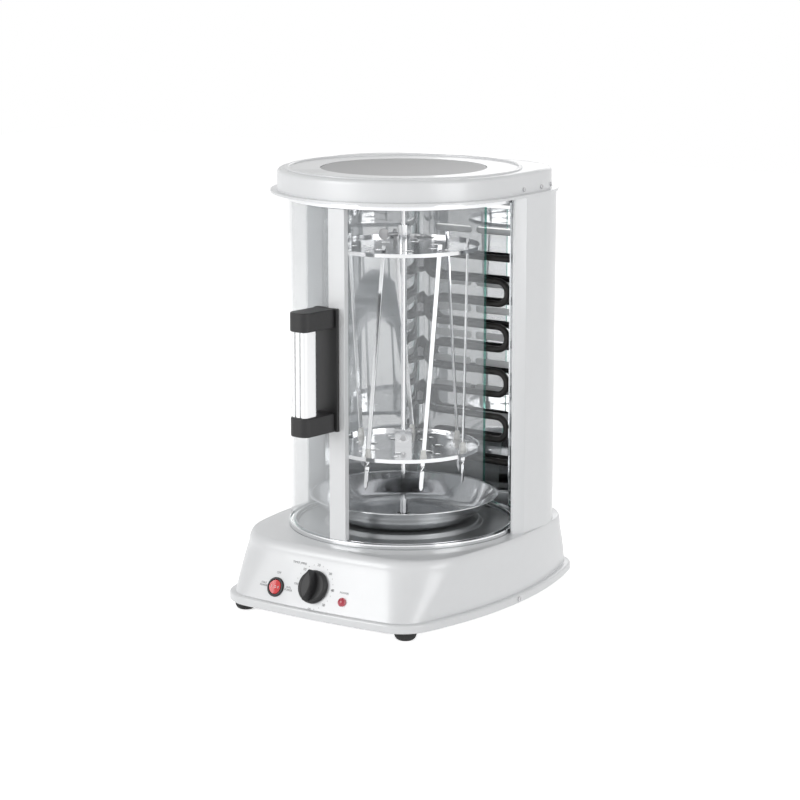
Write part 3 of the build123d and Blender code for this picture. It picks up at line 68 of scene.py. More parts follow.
@dataclass(frozen=True)
class Finish:
    """One surface finish: a Principled shader with a fine procedural grain."""

    name: str
    slot: str
    colour: Point
    metallic: float = 0.0
    roughness: float = 0.5
    roughness_spread: float = 0.06
    mottle: float = 0.03
    grain: float = 900.0
    bump: float = 0.00002
    coat: float = 0.0
    direction: Direction = Direction.EVEN

    def material(self) -> bpy.types.Material:
        """Build the material, or find it if it is already made.

        Returns:
            The node material of this finish.
        """
        made = bpy.data.materials.get(self.name)
        if made is not None:
            return made
        made = bpy.data.materials.new(self.name)
        made.use_nodes = True
        made.diffuse_color = (*self.colour, 1.0)
        self.wire(made.node_tree)
        return made

    def wire(self, tree: bpy.types.NodeTree) -> None:
        """Wire the grain into the shader's colour, roughness and normal.

        Args:
            tree: The node tree of the new material.
        """
        shader = tree.nodes["Principled BSDF"]
        shader.inputs["Metallic"].default_value = self.metallic
        shader.inputs["Coat Weight"].default_value = self.coat
        coordinates = tree.nodes.new("ShaderNodeTexCoord")
        mapping = tree.nodes.new("ShaderNodeMapping")
        mapping.inputs["Scale"].default_value = self.direction.value
        tree.links.new(coordinates.outputs["Object"], mapping.inputs["Vector"])
        fine = self.noise(tree, mapping, self.grain, 3.0)
        broad = self.noise(tree, mapping, self.grain / 40.0, 2.0)
        shades = tree.nodes.new("ShaderNodeMix")
        shades.data_type = "RGBA"
        darker = tuple(channel * (1.0 - self.mottle) for channel in self.colour)
        lighter = tuple(min(1.0, channel * (1.0 + self.mottle)) for channel in self.colour)
        shades.inputs[6].default_value = (*darker, 1.0)
        shades.inputs[7].default_value = (*lighter, 1.0)
        tree.links.new(broad.outputs["Fac"], shades.inputs[0])
        tree.links.new(shades.outputs[2], shader.inputs["Base Color"])
        spread = tree.nodes.new("ShaderNodeMapRange")
        spread.inputs["To Min"].default_value = max(0.0, self.roughness - self.roughness_spread)
        spread.inputs["To Max"].default_value = min(1.0, self.roughness + self.roughness_spread)
        tree.links.new(fine.outputs["Fac"], spread.inputs["Value"])
        tree.links.new(spread.outputs["Result"], shader.inputs["Roughness"])
        relief = tree.nodes.new("ShaderNodeBump")
        relief.inputs["Distance"].default_value = self.bump
        tree.links.new(fine.outputs["Fac"], relief.inputs["Height"])
        tree.links.new(relief.outputs["Normal"], shader.inputs["Normal"])

    @staticmethod
    def noise(tree: bpy.types.NodeTree, mapping: bpy.types.Node, scale: float,
              detail: float) -> bpy.types.Node:
        """Add one noise texture.

        Args:
            tree: The material's node tree.
            mapping: The node that gives the coordinates.
            scale: Cells to the metre.
            detail: How many finer layers it has.

        Returns:
            The noise node.
        """
        made = tree.nodes.new("ShaderNodeTexNoise")
        made.inputs["Scale"].default_value = scale
        made.inputs["Detail"].default_value = detail
        tree.links.new(mapping.outputs["Vector"], made.inputs["Vector"])
        return made


@dataclass(frozen=True)
class GlassFinish(Finish):
    """Clear glass that lets the lamps through."""

    index: float = 1.1

    def wire(self, tree: bpy.types.NodeTree) -> None:
        """Make the shader transmit, and let shadow rays pass.

        Args:
            tree: The node tree of the new material.
        """
        shader = tree.nodes["Principled BSDF"]
        shader.inputs["Base Color"].default_value = (*self.colour, 1.0)
        shader.inputs["Roughness"].default_value = self.roughness
        shader.inputs["IOR"].default_value = self.index
        shader.inputs["Transmission Weight"].default_value = 1.0
        path = tree.nodes.new("ShaderNodeLightPath")
        open_air = tree.nodes.new("ShaderNodeBsdfTransparent")
        open_air.inputs["Color"].default_value = (*self.colour, 1.0)
        either = tree.nodes.new("ShaderNodeMixShader")
        output = tree.nodes["Material Output"]
        tree.links.new(path.outputs["Is Shadow Ray"], either.inputs[0])
        tree.links.new(shader.outputs["BSDF"], either.inputs[1])
        tree.links.new(open_air.outputs["BSDF"], either.inputs[2])
        tree.links.new(either.outputs["Shader"], output.inputs["Surface"])


PAINT = Finish("silver_paint", "painted_silver", (0.79, 0.80, 0.81), 0.12, 0.38, 0.05, 0.015,
               2600.0, 0.00001, 0.25)
STEEL = Finish("polished_steel", "polished_steel", (0.74, 0.745, 0.75), 1.0, 0.13, 0.04, 0.03,
               700.0, 0.000004)
SHEET_STEEL = Finish("plain_steel", "zinc_steel", (0.60, 0.60, 0.61), 1.0, 0.30, 0.08, 0.05,
                     900.0, 0.00001)
FLOOR_STEEL = Finish("floor_steel", "floor_steel", (0.36, 0.365, 0.37), 1.0, 0.20, 0.05, 0.05,
                     500.0, 0.000005)
MIRROR = Finish("mirror_steel", "mirror_steel", (0.84, 0.845, 0.85), 1.0, 0.05, 0.02, 0.02,
                400.0, 0.000002)
WARMER = Finish("anodised_sheet", "warming_steel", (0.33, 0.33, 0.335), 0.10, 0.45, 0.06, 0.04,
                1500.0, 0.00001)
BLACK = Finish("black_moulding", "black_plastic", (0.014, 0.014, 0.015), 0.0, 0.46, 0.08, 0.10,
               3200.0, 0.00003)
RUBBER = Finish("foot_rubber", "foot_rubber", (0.022, 0.022, 0.022), 0.0, 0.80, 0.08, 0.15,
                2200.0, 0.00004)
ALUMINIUM = Finish("fluted_aluminium", "bright_aluminium", (0.76, 0.765, 0.77), 1.0, 0.22, 0.06,
                   0.03, 1600.0, 0.00001, 0.0, Direction.UPRIGHT)
SHEATH = Finish("heater_sheath", "heater_black", (0.030, 0.028, 0.026), 0.2, 0.46, 0.12, 0.25,
                1200.0, 0.00003)
CERAMIC = Finish("white_ceramic", "pale_ceramic", (0.84, 0.84, 0.82), 0.0, 0.28, 0.06, 0.02,
                 900.0, 0.00001, 0.3)
RED = Finish("red_rocker", "red_plastic", (0.74, 0.018, 0.022), 0.0, 0.22, 0.04, 0.04,
             1500.0, 0.000005, 0.5)
LENS = Finish("lamp_red", "red_lens", (0.50, 0.008, 0.040), 0.0, 0.12, 0.03, 0.05,
              1500.0, 0.000005, 0.8)
INK = Finish("dark_print", "painted_silver", (0.24, 0.24, 0.25), 0.0, 0.50, 0.05, 0.05,
             2500.0, 0.000005)
WHITE_INK = Finish("white_print", "red_plastic", (0.88, 0.84, 0.84), 0.0, 0.45, 0.05, 0.03,
                   2500.0, 0.000005)
GLASS = GlassFinish("clear_glass", "clear_glass", (0.955, 0.972, 0.980), roughness=0.0)
GLASS_EDGE = GlassFinish("glass_edge", "clear_glass", (0.10, 0.36, 0.28), roughness=0.25)


# ------------------------------------------------------------------ mesh makers
def new_object(name: str, data: bpy.types.ID) -> bpy.types.Object:
    """Put a mesh, curve, lamp or camera into the scene as an object at the origin.

    Args:
        name: The object's name.
        data: Its mesh, curve, lamp or camera.

    Returns:
        The new object.
    """
    made = bpy.data.objects.new(name, data)
    bpy.context.scene.collection.objects.link(made)
    return made


def shade(mesh: bpy.types.Mesh, angle: float = 32.0) -> None:
    """Shade a mesh smooth, with its edges sharp past an angle.

    Args:
        mesh: The mesh to shade.
        angle: The angle between faces, in degrees, past which an edge stays sharp.
    """
    mesh.shade_smooth()
    mesh.set_sharp_from_angle(angle=math.radians(angle))


def mesh_from(name: str, points: Sequence[Point], faces: Iterable[Sequence[int]],
              outwards: bool = True) -> bpy.types.Mesh:
    """Build a clean mesh, with doubles merged and its normals pointing out.

    Args:
        name: The mesh's name.
        points: Its vertices.
        faces: Its faces, as vertex numbers.
        outwards: Whether the normals are worked out again.

    Returns:
        The new mesh.
    """
    mesh = bpy.data.meshes.new(name)
    mesh.from_pydata([tuple(point) for point in points], [], [tuple(face) for face in faces])
    work = bmesh.new()
    work.from_mesh(mesh)
    bmesh.ops.remove_doubles(work, verts=work.verts, dist=1e-7)
    bmesh.ops.dissolve_degenerate(work, edges=work.edges, dist=1e-8)
    if outwards:
        bmesh.ops.recalc_face_normals(work, faces=work.faces)
    work.to_mesh(mesh)
    work.free()
    mesh.validate()
    return mesh


def ring_faces(rings: int, around: int, loop: bool) -> list[tuple[int, int, int, int]]:
    """The quads between rings of points.

    Args:
        rings: How many rings there are.
        around: How many points each ring has.
        loop: Whether the last ring joins the first.

    Returns:
        The faces, as vertex numbers.
    """
    faces = []
    for ring in range(rings if loop else rings - 1):
        after = (ring + 1) % rings
        for step in range(around):
            beside = (step + 1) % around
            faces.append((ring * around + step, ring * around + beside,
                          after * around + beside, after * around + step))
    return faces


def skin(name: str, rings: Sequence[Sequence[Point]], loop: bool = False) -> bpy.types.Mesh:
    """A closed mesh through rings of points.

    Args:
        name: The mesh's name.
        rings: The rings, each with the same count of points.
        loop: Whether the last ring joins the first, or both ends are capped.

    Returns:
        The mesh.
    """
    points = [point for ring in rings for point in ring]
    around = len(rings[0])
    faces: list[Sequence[int]] = list(ring_faces(len(rings), around, loop))
    if not loop:
        faces += [tuple(range(around)), tuple(range(len(points) - around, len(points)))]
    return mesh_from(name, points, faces)


def spun(name: str, profile: Sequence[Flat], segments: int = 128) -> bpy.types.Mesh:
    """Turn a closed profile about the Z axis.

    Args:
        name: The mesh's name.
        profile: The (radius, height) points of a closed line.
        segments: How many steps go round.

    Returns:
        The turned mesh.
    """
    turns = [2 * math.pi * step / segments for step in range(segments)]
    return skin(name, [[(radius * math.cos(turn), radius * math.sin(turn), height)
                        for turn in turns] for radius, height in profile], True)


def stub(name: str, radius: float, low: float, high: float, segments: int) -> bpy.types.Mesh:
    """A plain upright cylinder.

    Args:
        name: The mesh's name.
        radius: Its radius.
        low: The level of its foot.
        high: The level of its head.
        segments: How many steps go round.

    Returns:
        The cylinder's mesh.
    """
    return spun(name, [(0.0, low), (radius, low), (radius, high), (0.0, high)], segments)


def cuboid(name: str, low: Point, high: Point) -> bpy.types.Mesh:
    """A box between two corners.

    Args:
        name: The mesh's name.
        low: The corner of its least values.
        high: The corner of its greatest values.

    Returns:
        The box's mesh.
    """
    corners = [(x, y, z) for x in (low[0], high[0]) for y in (low[1], high[1])
               for z in (low[2], high[2])]
    faces = [(0, 1, 3, 2), (4, 6, 7, 5), (0, 4, 5, 1), (2, 3, 7, 6), (0, 2, 6, 4), (1, 5, 7, 3)]
    return mesh_from(name, corners, faces)


def quarter(steps: int, first: int = 0) -> list[Flat]:
    """The cosine and sine of even parts of a quarter turn.

    Args:
        steps: How many parts the quarter turn has.
        first: The part that the list starts with.

    Returns:
        The (cosine, sine) pairs, the last of them at the full quarter.
    """
    turns = [math.radians(90.0 * step / steps) for step in range(first, steps + 1)]
    return [(math.cos(turn), math.sin(turn)) for turn in turns]


def joined(name: str, parts: Sequence[bpy.types.Mesh]) -> bpy.types.Mesh:
    """Join several meshes into one.

    Args:
        name: The new mesh's name.
        parts: The meshes, in place.

    Returns:
        One mesh that holds them all.
    """
    work = bmesh.new()
    for part in parts:
        work.from_mesh(part)
    mesh = bpy.data.meshes.new(name)
    work.to_mesh(mesh)
    work.free()
    return mesh


def rounded(profile: Sequence[Flat], radius: float, steps: int = 4) -> list[Flat]:
    """Round the corners of a closed flat line.

    Args:
        profile: The corners in order.
        radius: The rounding radius, kept under half of the shorter side.
        steps: How many parts each rounding has.

    Returns:
        The points of the rounded line.
    """
    made: list[Flat] = []
    count = len(profile)
    for index in range(count):
        corner = Vector(profile[index])
        before = Vector(profile[index - 1]) - corner
        after = Vector(profile[(index + 1) % count]) - corner
        if corner.x < 1e-9:
            made.append((corner.x, corner.y))
            continue
        cut = min(radius, before.length * 0.45, after.length * 0.45)
        start, end = corner + before.normalized() * cut, corner + after.normalized() * cut
        for step in range(steps + 1):
            part = step / steps
            point = start * (1 - part) ** 2 + corner * 2 * part * (1 - part) + end * part ** 2
            made.append((point.x, point.y))
    return made


def tube(name: str, path: Sequence[Vector], radius: float, sides: int = 20) -> bpy.types.Mesh:
    """A round tube that follows a flat path, with closed ends.

    Args:
        name: The mesh's name.
        path: The points of its centre line, all in one upright plane of steady Y.
        radius: The tube's radius.
        sides: How many sides go round.

    Returns:
        The tube's mesh.
    """
    across = Vector((0.0, 1.0, 0.0))
    turns = [2 * math.pi * step / sides for step in range(sides)]
    rings = []
    for index, centre in enumerate(path):
        ahead = path[min(index + 1, len(path) - 1)] - path[max(index - 1, 0)]
        side = across.cross(ahead.normalized())
        rings.append([tuple(centre + (across * math.cos(turn) + side * math.sin(turn)) * radius)
                      for turn in turns])
    return skin(name, rings)


def bent_wall(name: str, section: Sequence[Flat], start: float, end: float,
              segments: int) -> bpy.types.Mesh:
    """Turn a closed section of (radius, height) points part of the way round the drum.

    Args:
        name: The mesh's name.
        section: The closed section.
        start: The azimuth where it starts, in degrees.
        end: The azimuth where it ends, in degrees.
        segments: How many steps go round.

    Returns:
        The curved wall, closed at both ends.
    """
    turns = [math.radians(start + (end - start) * step / segments) for step in range(segments + 1)]
    return skin(name, [[(radius * math.cos(turn), radius * math.sin(turn), height)
                        for radius, height in section] for turn in turns])


def merged_copy(node: str, name: str) -> bpy.types.Mesh:
    """Copy a frame node's mesh, with its loose triangles merged into clean faces.

    Args:
        node: The frame node.
        name: The new mesh's name.

    Returns:
        The merged copy.
    """
    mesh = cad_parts[node].data.copy()
    mesh.name = name
    mesh.materials.clear()
    work = bmesh.new()
    work.from_mesh(mesh)
    bmesh.ops.remove_doubles(work, verts=work.verts, dist=2e-6)
    flat = math.radians(0.4)
    bmesh.ops.dissolve_limit(work, angle_limit=flat, verts=work.verts, edges=work.edges,
                             delimit={"NORMAL"})
    work.to_mesh(mesh)
    work.free()
    for layer in list(mesh.uv_layers):
        mesh.uv_layers.remove(layer)
    return mesh


def soften(piece: bpy.types.Object, width: float, segments: int = 2) -> None:
    """Round a piece's sharp edges with a live Bevel modifier.

    Args:
        piece: The piece to soften.
        width: The bevel's width.
        segments: How many parts the bevel has.
    """
    bevel = piece.modifiers.new("edges", "BEVEL")
    bevel.width = width
    bevel.segments = segments
    bevel.limit_method = "ANGLE"
    bevel.angle_limit = math.radians(38.0)
    bevel.use_clamp_overlap = True
    bevel.harden_normals = True


def evaluated_mesh(piece: bpy.types.Object) -> bpy.types.Mesh:
    """The mesh of a piece with its modifiers applied.

    Args:
        piece: The piece.

    Returns:
        A new plain mesh.
    """
    bpy.context.view_layer.update()
    graph = bpy.context.evaluated_depsgraph_get()
    return bpy.data.meshes.new_from_object(piece.evaluated_get(graph), depsgraph=graph)


def cut_out(mesh: bpy.types.Mesh, cutters: Sequence[bpy.types.Mesh]) -> bpy.types.Mesh:
    """Cut closed meshes out of another.

    Args:
        mesh: The mesh that is cut.
        cutters: The meshes that are taken away.

    Returns:
        A new mesh with the cuts made.
    """
    body = new_object("cut_body", mesh)
    tools = []
    for number, cutter in enumerate(cutters):
        tool = new_object(f"cutter_{number}", cutter)
        tools.append(tool)
        modifier = body.modifiers.new(f"cut_{number}", "BOOLEAN")
        modifier.operation = "DIFFERENCE"
        modifier.solver = "EXACT"
        modifier.object = tool
    made = evaluated_mesh(body)
    for spare in [body, *tools]:
        bpy.data.objects.remove(spare)
    return made


@dataclass
class Assembly:
    """What every sub-assembly shares: one body that it rides on, and how a piece is dressed."""

    body: str = "root"

    def dress(self, name: str, mesh: bpy.types.Mesh, finish: Finish, nodes: Sequence[str] = (),
              edge: float = 0.0, angle: float = 32.0, body: str = "") -> bpy.types.Object:
        """Make a piece from a mesh, finish it and let it ride on its body.

        Args:
            name: The piece's name.
            mesh: Its mesh, in place.
            finish: Its finish.
            nodes: The frame nodes that it stands for.
            edge: The width of its rounded edges, or 0.
            angle: The angle past which an edge stays sharp.
            body: The body that it rides on, where it isn't the assembly's own.

        Returns:
            The finished piece.
        """
        if not mesh.materials:
            mesh.materials.append(finish.material())
        shade(mesh, angle)
        piece = new_object(name, mesh)
        if edge > 0.0:
            soften(piece, edge)
        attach(piece, body or self.body)
        if nodes:
            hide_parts(*nodes)
        LOG.info("%s: %d faces", name, len(mesh.polygons))
        return piece

    def dress_node(self, node: str, finish: Finish, edge: float = 0.0003,
                   body: str = "") -> bpy.types.Object:
        """Dress a merged copy of a frame node, with softened edges, and hide the node.

        Args:
            node: The frame node.
            finish: The finish of the piece.
            edge: The width of its rounded edges.
            body: The body that it rides on, where it isn't the assembly's own.

        Returns:
            The finished piece.
        """
        name = node + "_piece"
        return self.dress(name, merged_copy(node, name), finish, [node], edge, body=body)

    @staticmethod
    def keep(node: str, finish: Finish) -> None:
        """Keep a frame node as it is and give it a finish.

        Args:
            node: The frame node.
            finish: Its finish.
        """
        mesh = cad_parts[node].data
        mesh.materials.clear()
        mesh.materials.append(finish.material())


# ------------------------------------------------------------------ repeated things
@dataclass(frozen=True)
class Place:
    """Where one copy of a repeated thing stands, and which way it faces."""

    point: Point
    facing: Point = (0.0, 0.0, 1.0)
    across: Point = (1.0, 0.0, 0.0)


@dataclass
class Repeater:
    """A Geometry Nodes tree that puts a copy of one thing at each place."""

    name: str
    finish: Finish
    tree: bpy.types.NodeTree = field(init=False)

    def __post_init__(self) -> None:
        """Build the tree: point, turn, realise and finish."""
        tree = bpy.data.node_groups.new(self.name, "GeometryNodeTree")
        self.tree = tree
        face = tree.interface
        face.new_socket("Places", in_out="INPUT", socket_type="NodeSocketGeometry")
        face.new_socket("Thing", in_out="INPUT", socket_type="NodeSocketObject")
        size = face.new_socket("Size", in_out="INPUT", socket_type="NodeSocketFloat")
        size.default_value = 1.0
        face.new_socket("Copies", in_out="OUTPUT", socket_type="NodeSocketGeometry")
        given = tree.nodes.new("NodeGroupInput")
        result = tree.nodes.new("NodeGroupOutput")
        thing = tree.nodes.new("GeometryNodeObjectInfo")
        copies = tree.nodes.new("GeometryNodeInstanceOnPoints")
        real = tree.nodes.new("GeometryNodeRealizeInstances")
        coat = tree.nodes.new("GeometryNodeSetMaterial")
        coat.inputs["Material"].default_value = self.finish.material()
        facing = self.turned("facing", "Z", "AUTO")
        across = self.turned("across", "X", "Z")
        links = tree.links
        links.new(given.outputs["Thing"], thing.inputs["Object"])
        links.new(given.outputs["Places"], copies.inputs["Points"])
        links.new(thing.outputs["Geometry"], copies.inputs["Instance"])
        links.new(facing.outputs["Rotation"], across.inputs["Rotation"])
        links.new(across.outputs["Rotation"], copies.inputs["Rotation"])
        links.new(given.outputs["Size"], copies.inputs["Scale"])
        links.new(copies.outputs["Instances"], real.inputs["Geometry"])
        links.new(real.outputs["Geometry"], coat.inputs["Geometry"])
        links.new(coat.outputs["Geometry"], result.inputs["Copies"])

    def turned(self, attribute: str, axis: str, pivot: str) -> bpy.types.Node:
        """Add a node that turns an axis to a named direction.

        Args:
            attribute: The attribute that holds the direction.
            axis: The axis that is turned to it.
            pivot: The axis that it turns about.

        Returns:
            The aligning node.
        """
        named = self.tree.nodes.new("GeometryNodeInputNamedAttribute")
        named.data_type = "FLOAT_VECTOR"
        named.inputs["Name"].default_value = attribute
        turn = self.tree.nodes.new("FunctionNodeAlignRotationToVector")
        turn.axis = axis
        turn.pivot_axis = pivot
        self.tree.links.new(named.outputs["Attribute"], turn.inputs["Vector"])
        return turn

    def copies(self, thing: bpy.types.Mesh, places: Sequence[Place]) -> bpy.types.Mesh:
        """Put a copy of a thing at each place.

        Args:
            thing: The mesh of one thing, drawn at the origin along +Z.
            places: Where the copies go.

        Returns:
            One plain mesh that holds them all.
        """
        shade(thing)
        pattern = new_object(self.name + "_thing", thing)
        cloud = bpy.data.meshes.new(self.name + "_places")
        cloud.from_pydata([place.point for place in places], [], [])
        for attribute in ("facing", "across"):
            layer = cloud.attributes.new(attribute, "FLOAT_VECTOR", "POINT")
            for number, place in enumerate(places):
                layer.data[number].vector = getattr(place, attribute)
        holder = new_object(self.name + "_holder", cloud)
        modifier = holder.modifiers.new("copies", "NODES")
        modifier.node_group = self.tree
        for socket in self.tree.interface.items_tree:
            if socket.name == "Thing":
                modifier[socket.identifier] = pattern
        made = evaluated_mesh(holder)
        for attribute in ("facing", "across"):
            stale = made.attributes.get(attribute)
            if stale is not None:
                made.attributes.remove(stale)
        for spare in (holder, pattern):
            bpy.data.objects.remove(spare)
        made.name = self.name
        return made


CROSS_LENGTH = 0.55
CROSS_WIDTH = 0.14
CROSS_DEPTH = 0.4
HEAD_ROUNDING = 0.7


def screw_mesh(head: float, height: float, shank: float, radius: float) -> bpy.types.Mesh:
    """One pan-head screw along Z, with a cross in its head.

    Args:
        head: The head's radius.
        height: The head's height.
        shank: The shank's length below Z = 0.
        radius: The shank's radius.

    Returns:
        The screw's mesh.
    """
    profile = rounded([(0.0, -shank), (radius, -shank), (radius, 0.0), (head, 0.0),
                       (head, height), (0.0, height)], height * HEAD_ROUNDING)
    body = spun("screw", profile, 24)
    bars = []
    for long_x, long_y in ((CROSS_LENGTH, CROSS_WIDTH), (CROSS_WIDTH, CROSS_LENGTH)):
        x, y, deep = head * long_x, head * long_y, height * CROSS_DEPTH
        bars.append(cuboid("bar", (-x, -y, height - deep), (x, y, height + deep)))
    return cut_out(body, bars)


# ------------------------------------------------------------------ base
@dataclass(frozen=True)
class BowedPlan:
    """A rounded plan with four bowed sides, as the base has at each level."""

    half_width: float
    front: float
    back: float
    side_bow: float
    end_bow: float
    corner: float
    side_steps: int = 26
    corner_steps: int = 16

    def circles(self) -> list[tuple[Vector, float]]:
        """The centre and radius of the front, right, back and left sides.

        Returns:
            A (centre, radius) pair for each side.
        """
        corner_x = self.half_width - self.side_bow
        chord = (self.back + self.front) / 2 - self.end_bow
        middle = (self.back - self.front) / 2
        end = (corner_x ** 2 + self.end_bow ** 2) / (2 * self.end_bow)
        side = (chord ** 2 + self.side_bow ** 2) / (2 * self.side_bow)
        return [(Vector((0.0, end - self.front)), end),
                (Vector((self.half_width - side, middle)), side),
                (Vector((0.0, self.back - end)), end),
                (Vector((side - self.half_width, middle)), side)]

    def roundings(self) -> list[Vector]:
        """The centre of each corner's arc, starting at the front right.

        Returns:
            The four centres.
        """
        circles = self.circles()
        corner_x = self.half_width - self.side_bow
        corners = [Vector((corner_x, self.end_bow - self.front)),
                   Vector((corner_x, self.back - self.end_bow)),
                   Vector((-corner_x, self.back - self.end_bow)),
                   Vector((-corner_x, self.end_bow - self.front))]
        found = []
        for index, near in enumerate(corners):
            (first, first_radius), (second, second_radius) = circles[index], circles[index - 3]
            one, two = first_radius - self.corner, second_radius - self.corner
            gap = (second - first).length
            along = (gap ** 2 + one ** 2 - two ** 2) / (2 * gap)
            rise = math.sqrt(max(one ** 2 - along ** 2, 0.0))
            ahead = (second - first) / gap
            side = Vector((-ahead.y, ahead.x))
            both = [first + ahead * along + side * rise, first + ahead * along - side * rise]
            found.append(min(both, key=lambda centre: (centre - near).length))
        return found

    def points(self) -> list[Flat]:
        """The points of the plan, counter-clockwise from the left end of the front.

        Returns:
            The closed line of the plan.
        """
        circles, centres = self.circles(), self.roundings()
        made: list[Flat] = []
        for index, (middle, radius) in enumerate(circles):
            before, after = centres[index - 1], centres[index]
            start = before - middle
            end = after - middle
            made += self.arc(middle, radius, start, end, self.side_steps)
            following = circles[(index + 1) % 4][0]
            made += self.arc(after, self.corner, after - middle, after - following,
                             self.corner_steps)
        return made

    @staticmethod
    def arc(middle: Vector, radius: float, start: Vector, end: Vector, steps: int) -> list[Flat]:
        """Points of an arc between two directions, without its last point.

        Args:
            middle: The arc's centre.
            radius: Its radius.
            start: The direction of its start.
            end: The direction of its end.
            steps: How many points it has.

        Returns:
            The points, counter-clockwise.
        """
        first = math.atan2(start.y, start.x)
        turn = (math.atan2(end.y, end.x) - first) % (2 * math.pi)
        return [(middle.x + radius * math.cos(first + turn * step / steps),
                 middle.y + radius * math.sin(first + turn * step / steps))
                for step in range(steps)]


@dataclass
class Base(Assembly):
    """The painted base: its housing, tray, feet, screws and cord bush."""

    tray_half_width: float = 0.163
    tray_half_depth: float = 0.193
    side_bow: float = 0.034
    end_bow: float = 0.007
    top_bow: float = 0.024
    corner: float = 0.046
    top_corner: float = 0.075
    inset: float = 0.006
    panel_slope: float = 23.0
    shoulder_height: float = 0.013
    shoulder_depth: float = 0.0108
    side_draft: float = 0.0015
    back_draft: float = 0.010
    top_run_in: float = 0.002
    sheet: float = 0.0015
    well_radius: float = 0.131
    foot_x: float = 0.113
    foot_y: float = 0.164
    foot_radius: float = 0.013
    screw_hole: float = 0.0017
    screw_head: float = 0.0032
    screw_radius: float = 0.0016
    screw_length: float = 0.005
    rocker_hole: float = 0.0099
    top_share: float = 0.35
    rim_radius: float = 0.0026
    ledge: float = 0.013
    vent_rows: int = 7
    vent_length: float = 0.113
    seat_gap: float = 0.0001

    @property
    def bottom(self) -> float:
        """The level where the housing stands on the tray."""
        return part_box("base_tray")[1].z

    @property
    def top(self) -> float:
        """The level of the housing's top."""
        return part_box("base_shell")[1].z

    @property
    def wall_height(self) -> float:
        """The height of the housing's wall below its shoulder."""
        return self.top - self.bottom - self.shoulder_height

    def panel(self, x: float, rise: float) -> Matrix:
        """The frame of a place on the control panel: X across, Y up the slope and Z out of it.

        Args:
            x: How far across it is.
            rise: How far up the slope it is.

        Returns:
            A matrix that takes a thing drawn at the origin to that place.
        """
        slope = math.radians(self.panel_slope)
        share = rise * math.cos(slope) / self.wall_height
        corner_x = (self.tray_half_width - self.inset - self.side_bow
                    + (self.side_bow - self.top_bow - self.side_draft) * share)
        radius = (corner_x ** 2 + self.end_bow ** 2) / (2 * self.end_bow)
        yaw = math.asin(x / radius)
        depth = self.tray_half_depth - self.inset + self.seat_gap
        point = Vector((x, radius * (1 - math.cos(yaw)) - depth + rise * math.sin(slope),
                        self.bottom + rise * math.cos(slope)))
        turned = Matrix.Rotation(yaw, 4, "Z") @ Matrix.Rotation(math.radians(90.0) - slope, 4, "X")
        return Matrix.Translation(point) @ turned

    def section(self, part: float, run_in: float, inset: float) -> list[Flat]:
        """The housing's plan at a level.

        Args:
            part: How far up the wall it is, from 0 to 1.
            run_in: How far the shoulder has run in, from 0 to 1.
            inset: How far it is drawn in from the outside.

        Returns:
            The points of the plan.
        """
        lean = self.wall_height * math.tan(math.radians(self.panel_slope)) * part
        width = self.tray_half_width - self.inset - self.side_draft * part
        depth = self.tray_half_depth - self.inset
        bow = self.side_bow + (self.top_bow - self.side_bow) * part
        foot_corner = self.corner - self.inset
        corner = foot_corner + (self.top_corner - foot_corner) * part
        plan = BowedPlan(width - self.top_run_in * run_in - inset,
                         depth - lean - self.shoulder_depth * run_in - inset,
                         depth - self.back_draft * part - self.top_run_in * run_in - inset,
                         bow, self.end_bow, corner - inset)
        return plan.points()

    def housing_mesh(self) -> bpy.types.Mesh:
        """The housing as one closed skin, with a round well and a hole for the rocker.

        Returns:
            The mesh, in place.
        """
        stages = [(part / 6, 0.0, 0.0) for part in range(7)]
        stages += [(1.0, 1 - cosine, sine) for cosine, sine in quarter(8, 1)]
        rings: list[list[Point]] = []
        for part, run_in, share in stages:
            level = self.bottom + self.wall_height * part + self.shoulder_height * share
            rings.append([(x, y, level) for x, y in self.section(part, run_in, 0.0)])
        rim = rings[-1]
        rings.append([self.towards(point, self.well_radius + self.sheet * 2, self.top_share)
                      for point in rim])
        for level in (self.top, self.top - self.sheet):
            rings.append([(*self.on_circle(point, self.well_radius - self.sheet), level)
                          for point in rim])
        for part, run_in, share in reversed(stages):
            level = self.bottom + self.wall_height * part + self.shoulder_height * share
            level = min(level, self.top - self.sheet)
            inner = self.section(part, run_in, self.sheet)
            rings.append([(x, y, level) for x, y in inner])
        mesh = skin("base_housing", rings, True)
        hole = stub("hole", self.rocker_hole, -4 * self.sheet, self.rim_radius + self.sheet, 48)
        hole.transform(self.panel(Controls.rocker_x, Controls.rocker_rise))
        return cut_out(mesh, [hole])

    def tray_ring(self, inset: float, level: float) -> list[Point]:
        """The tray's plan at a level.

        Args:
            inset: How far it is drawn in.
            level: The level.

        Returns:
            The points of the ring.
        """
        plan = BowedPlan(self.tray_half_width - inset, self.tray_half_depth - inset,
                         self.tray_half_depth - inset, self.side_bow, self.end_bow,
                         self.corner - inset)
        return [(x, y, level) for x, y in plan.points()]

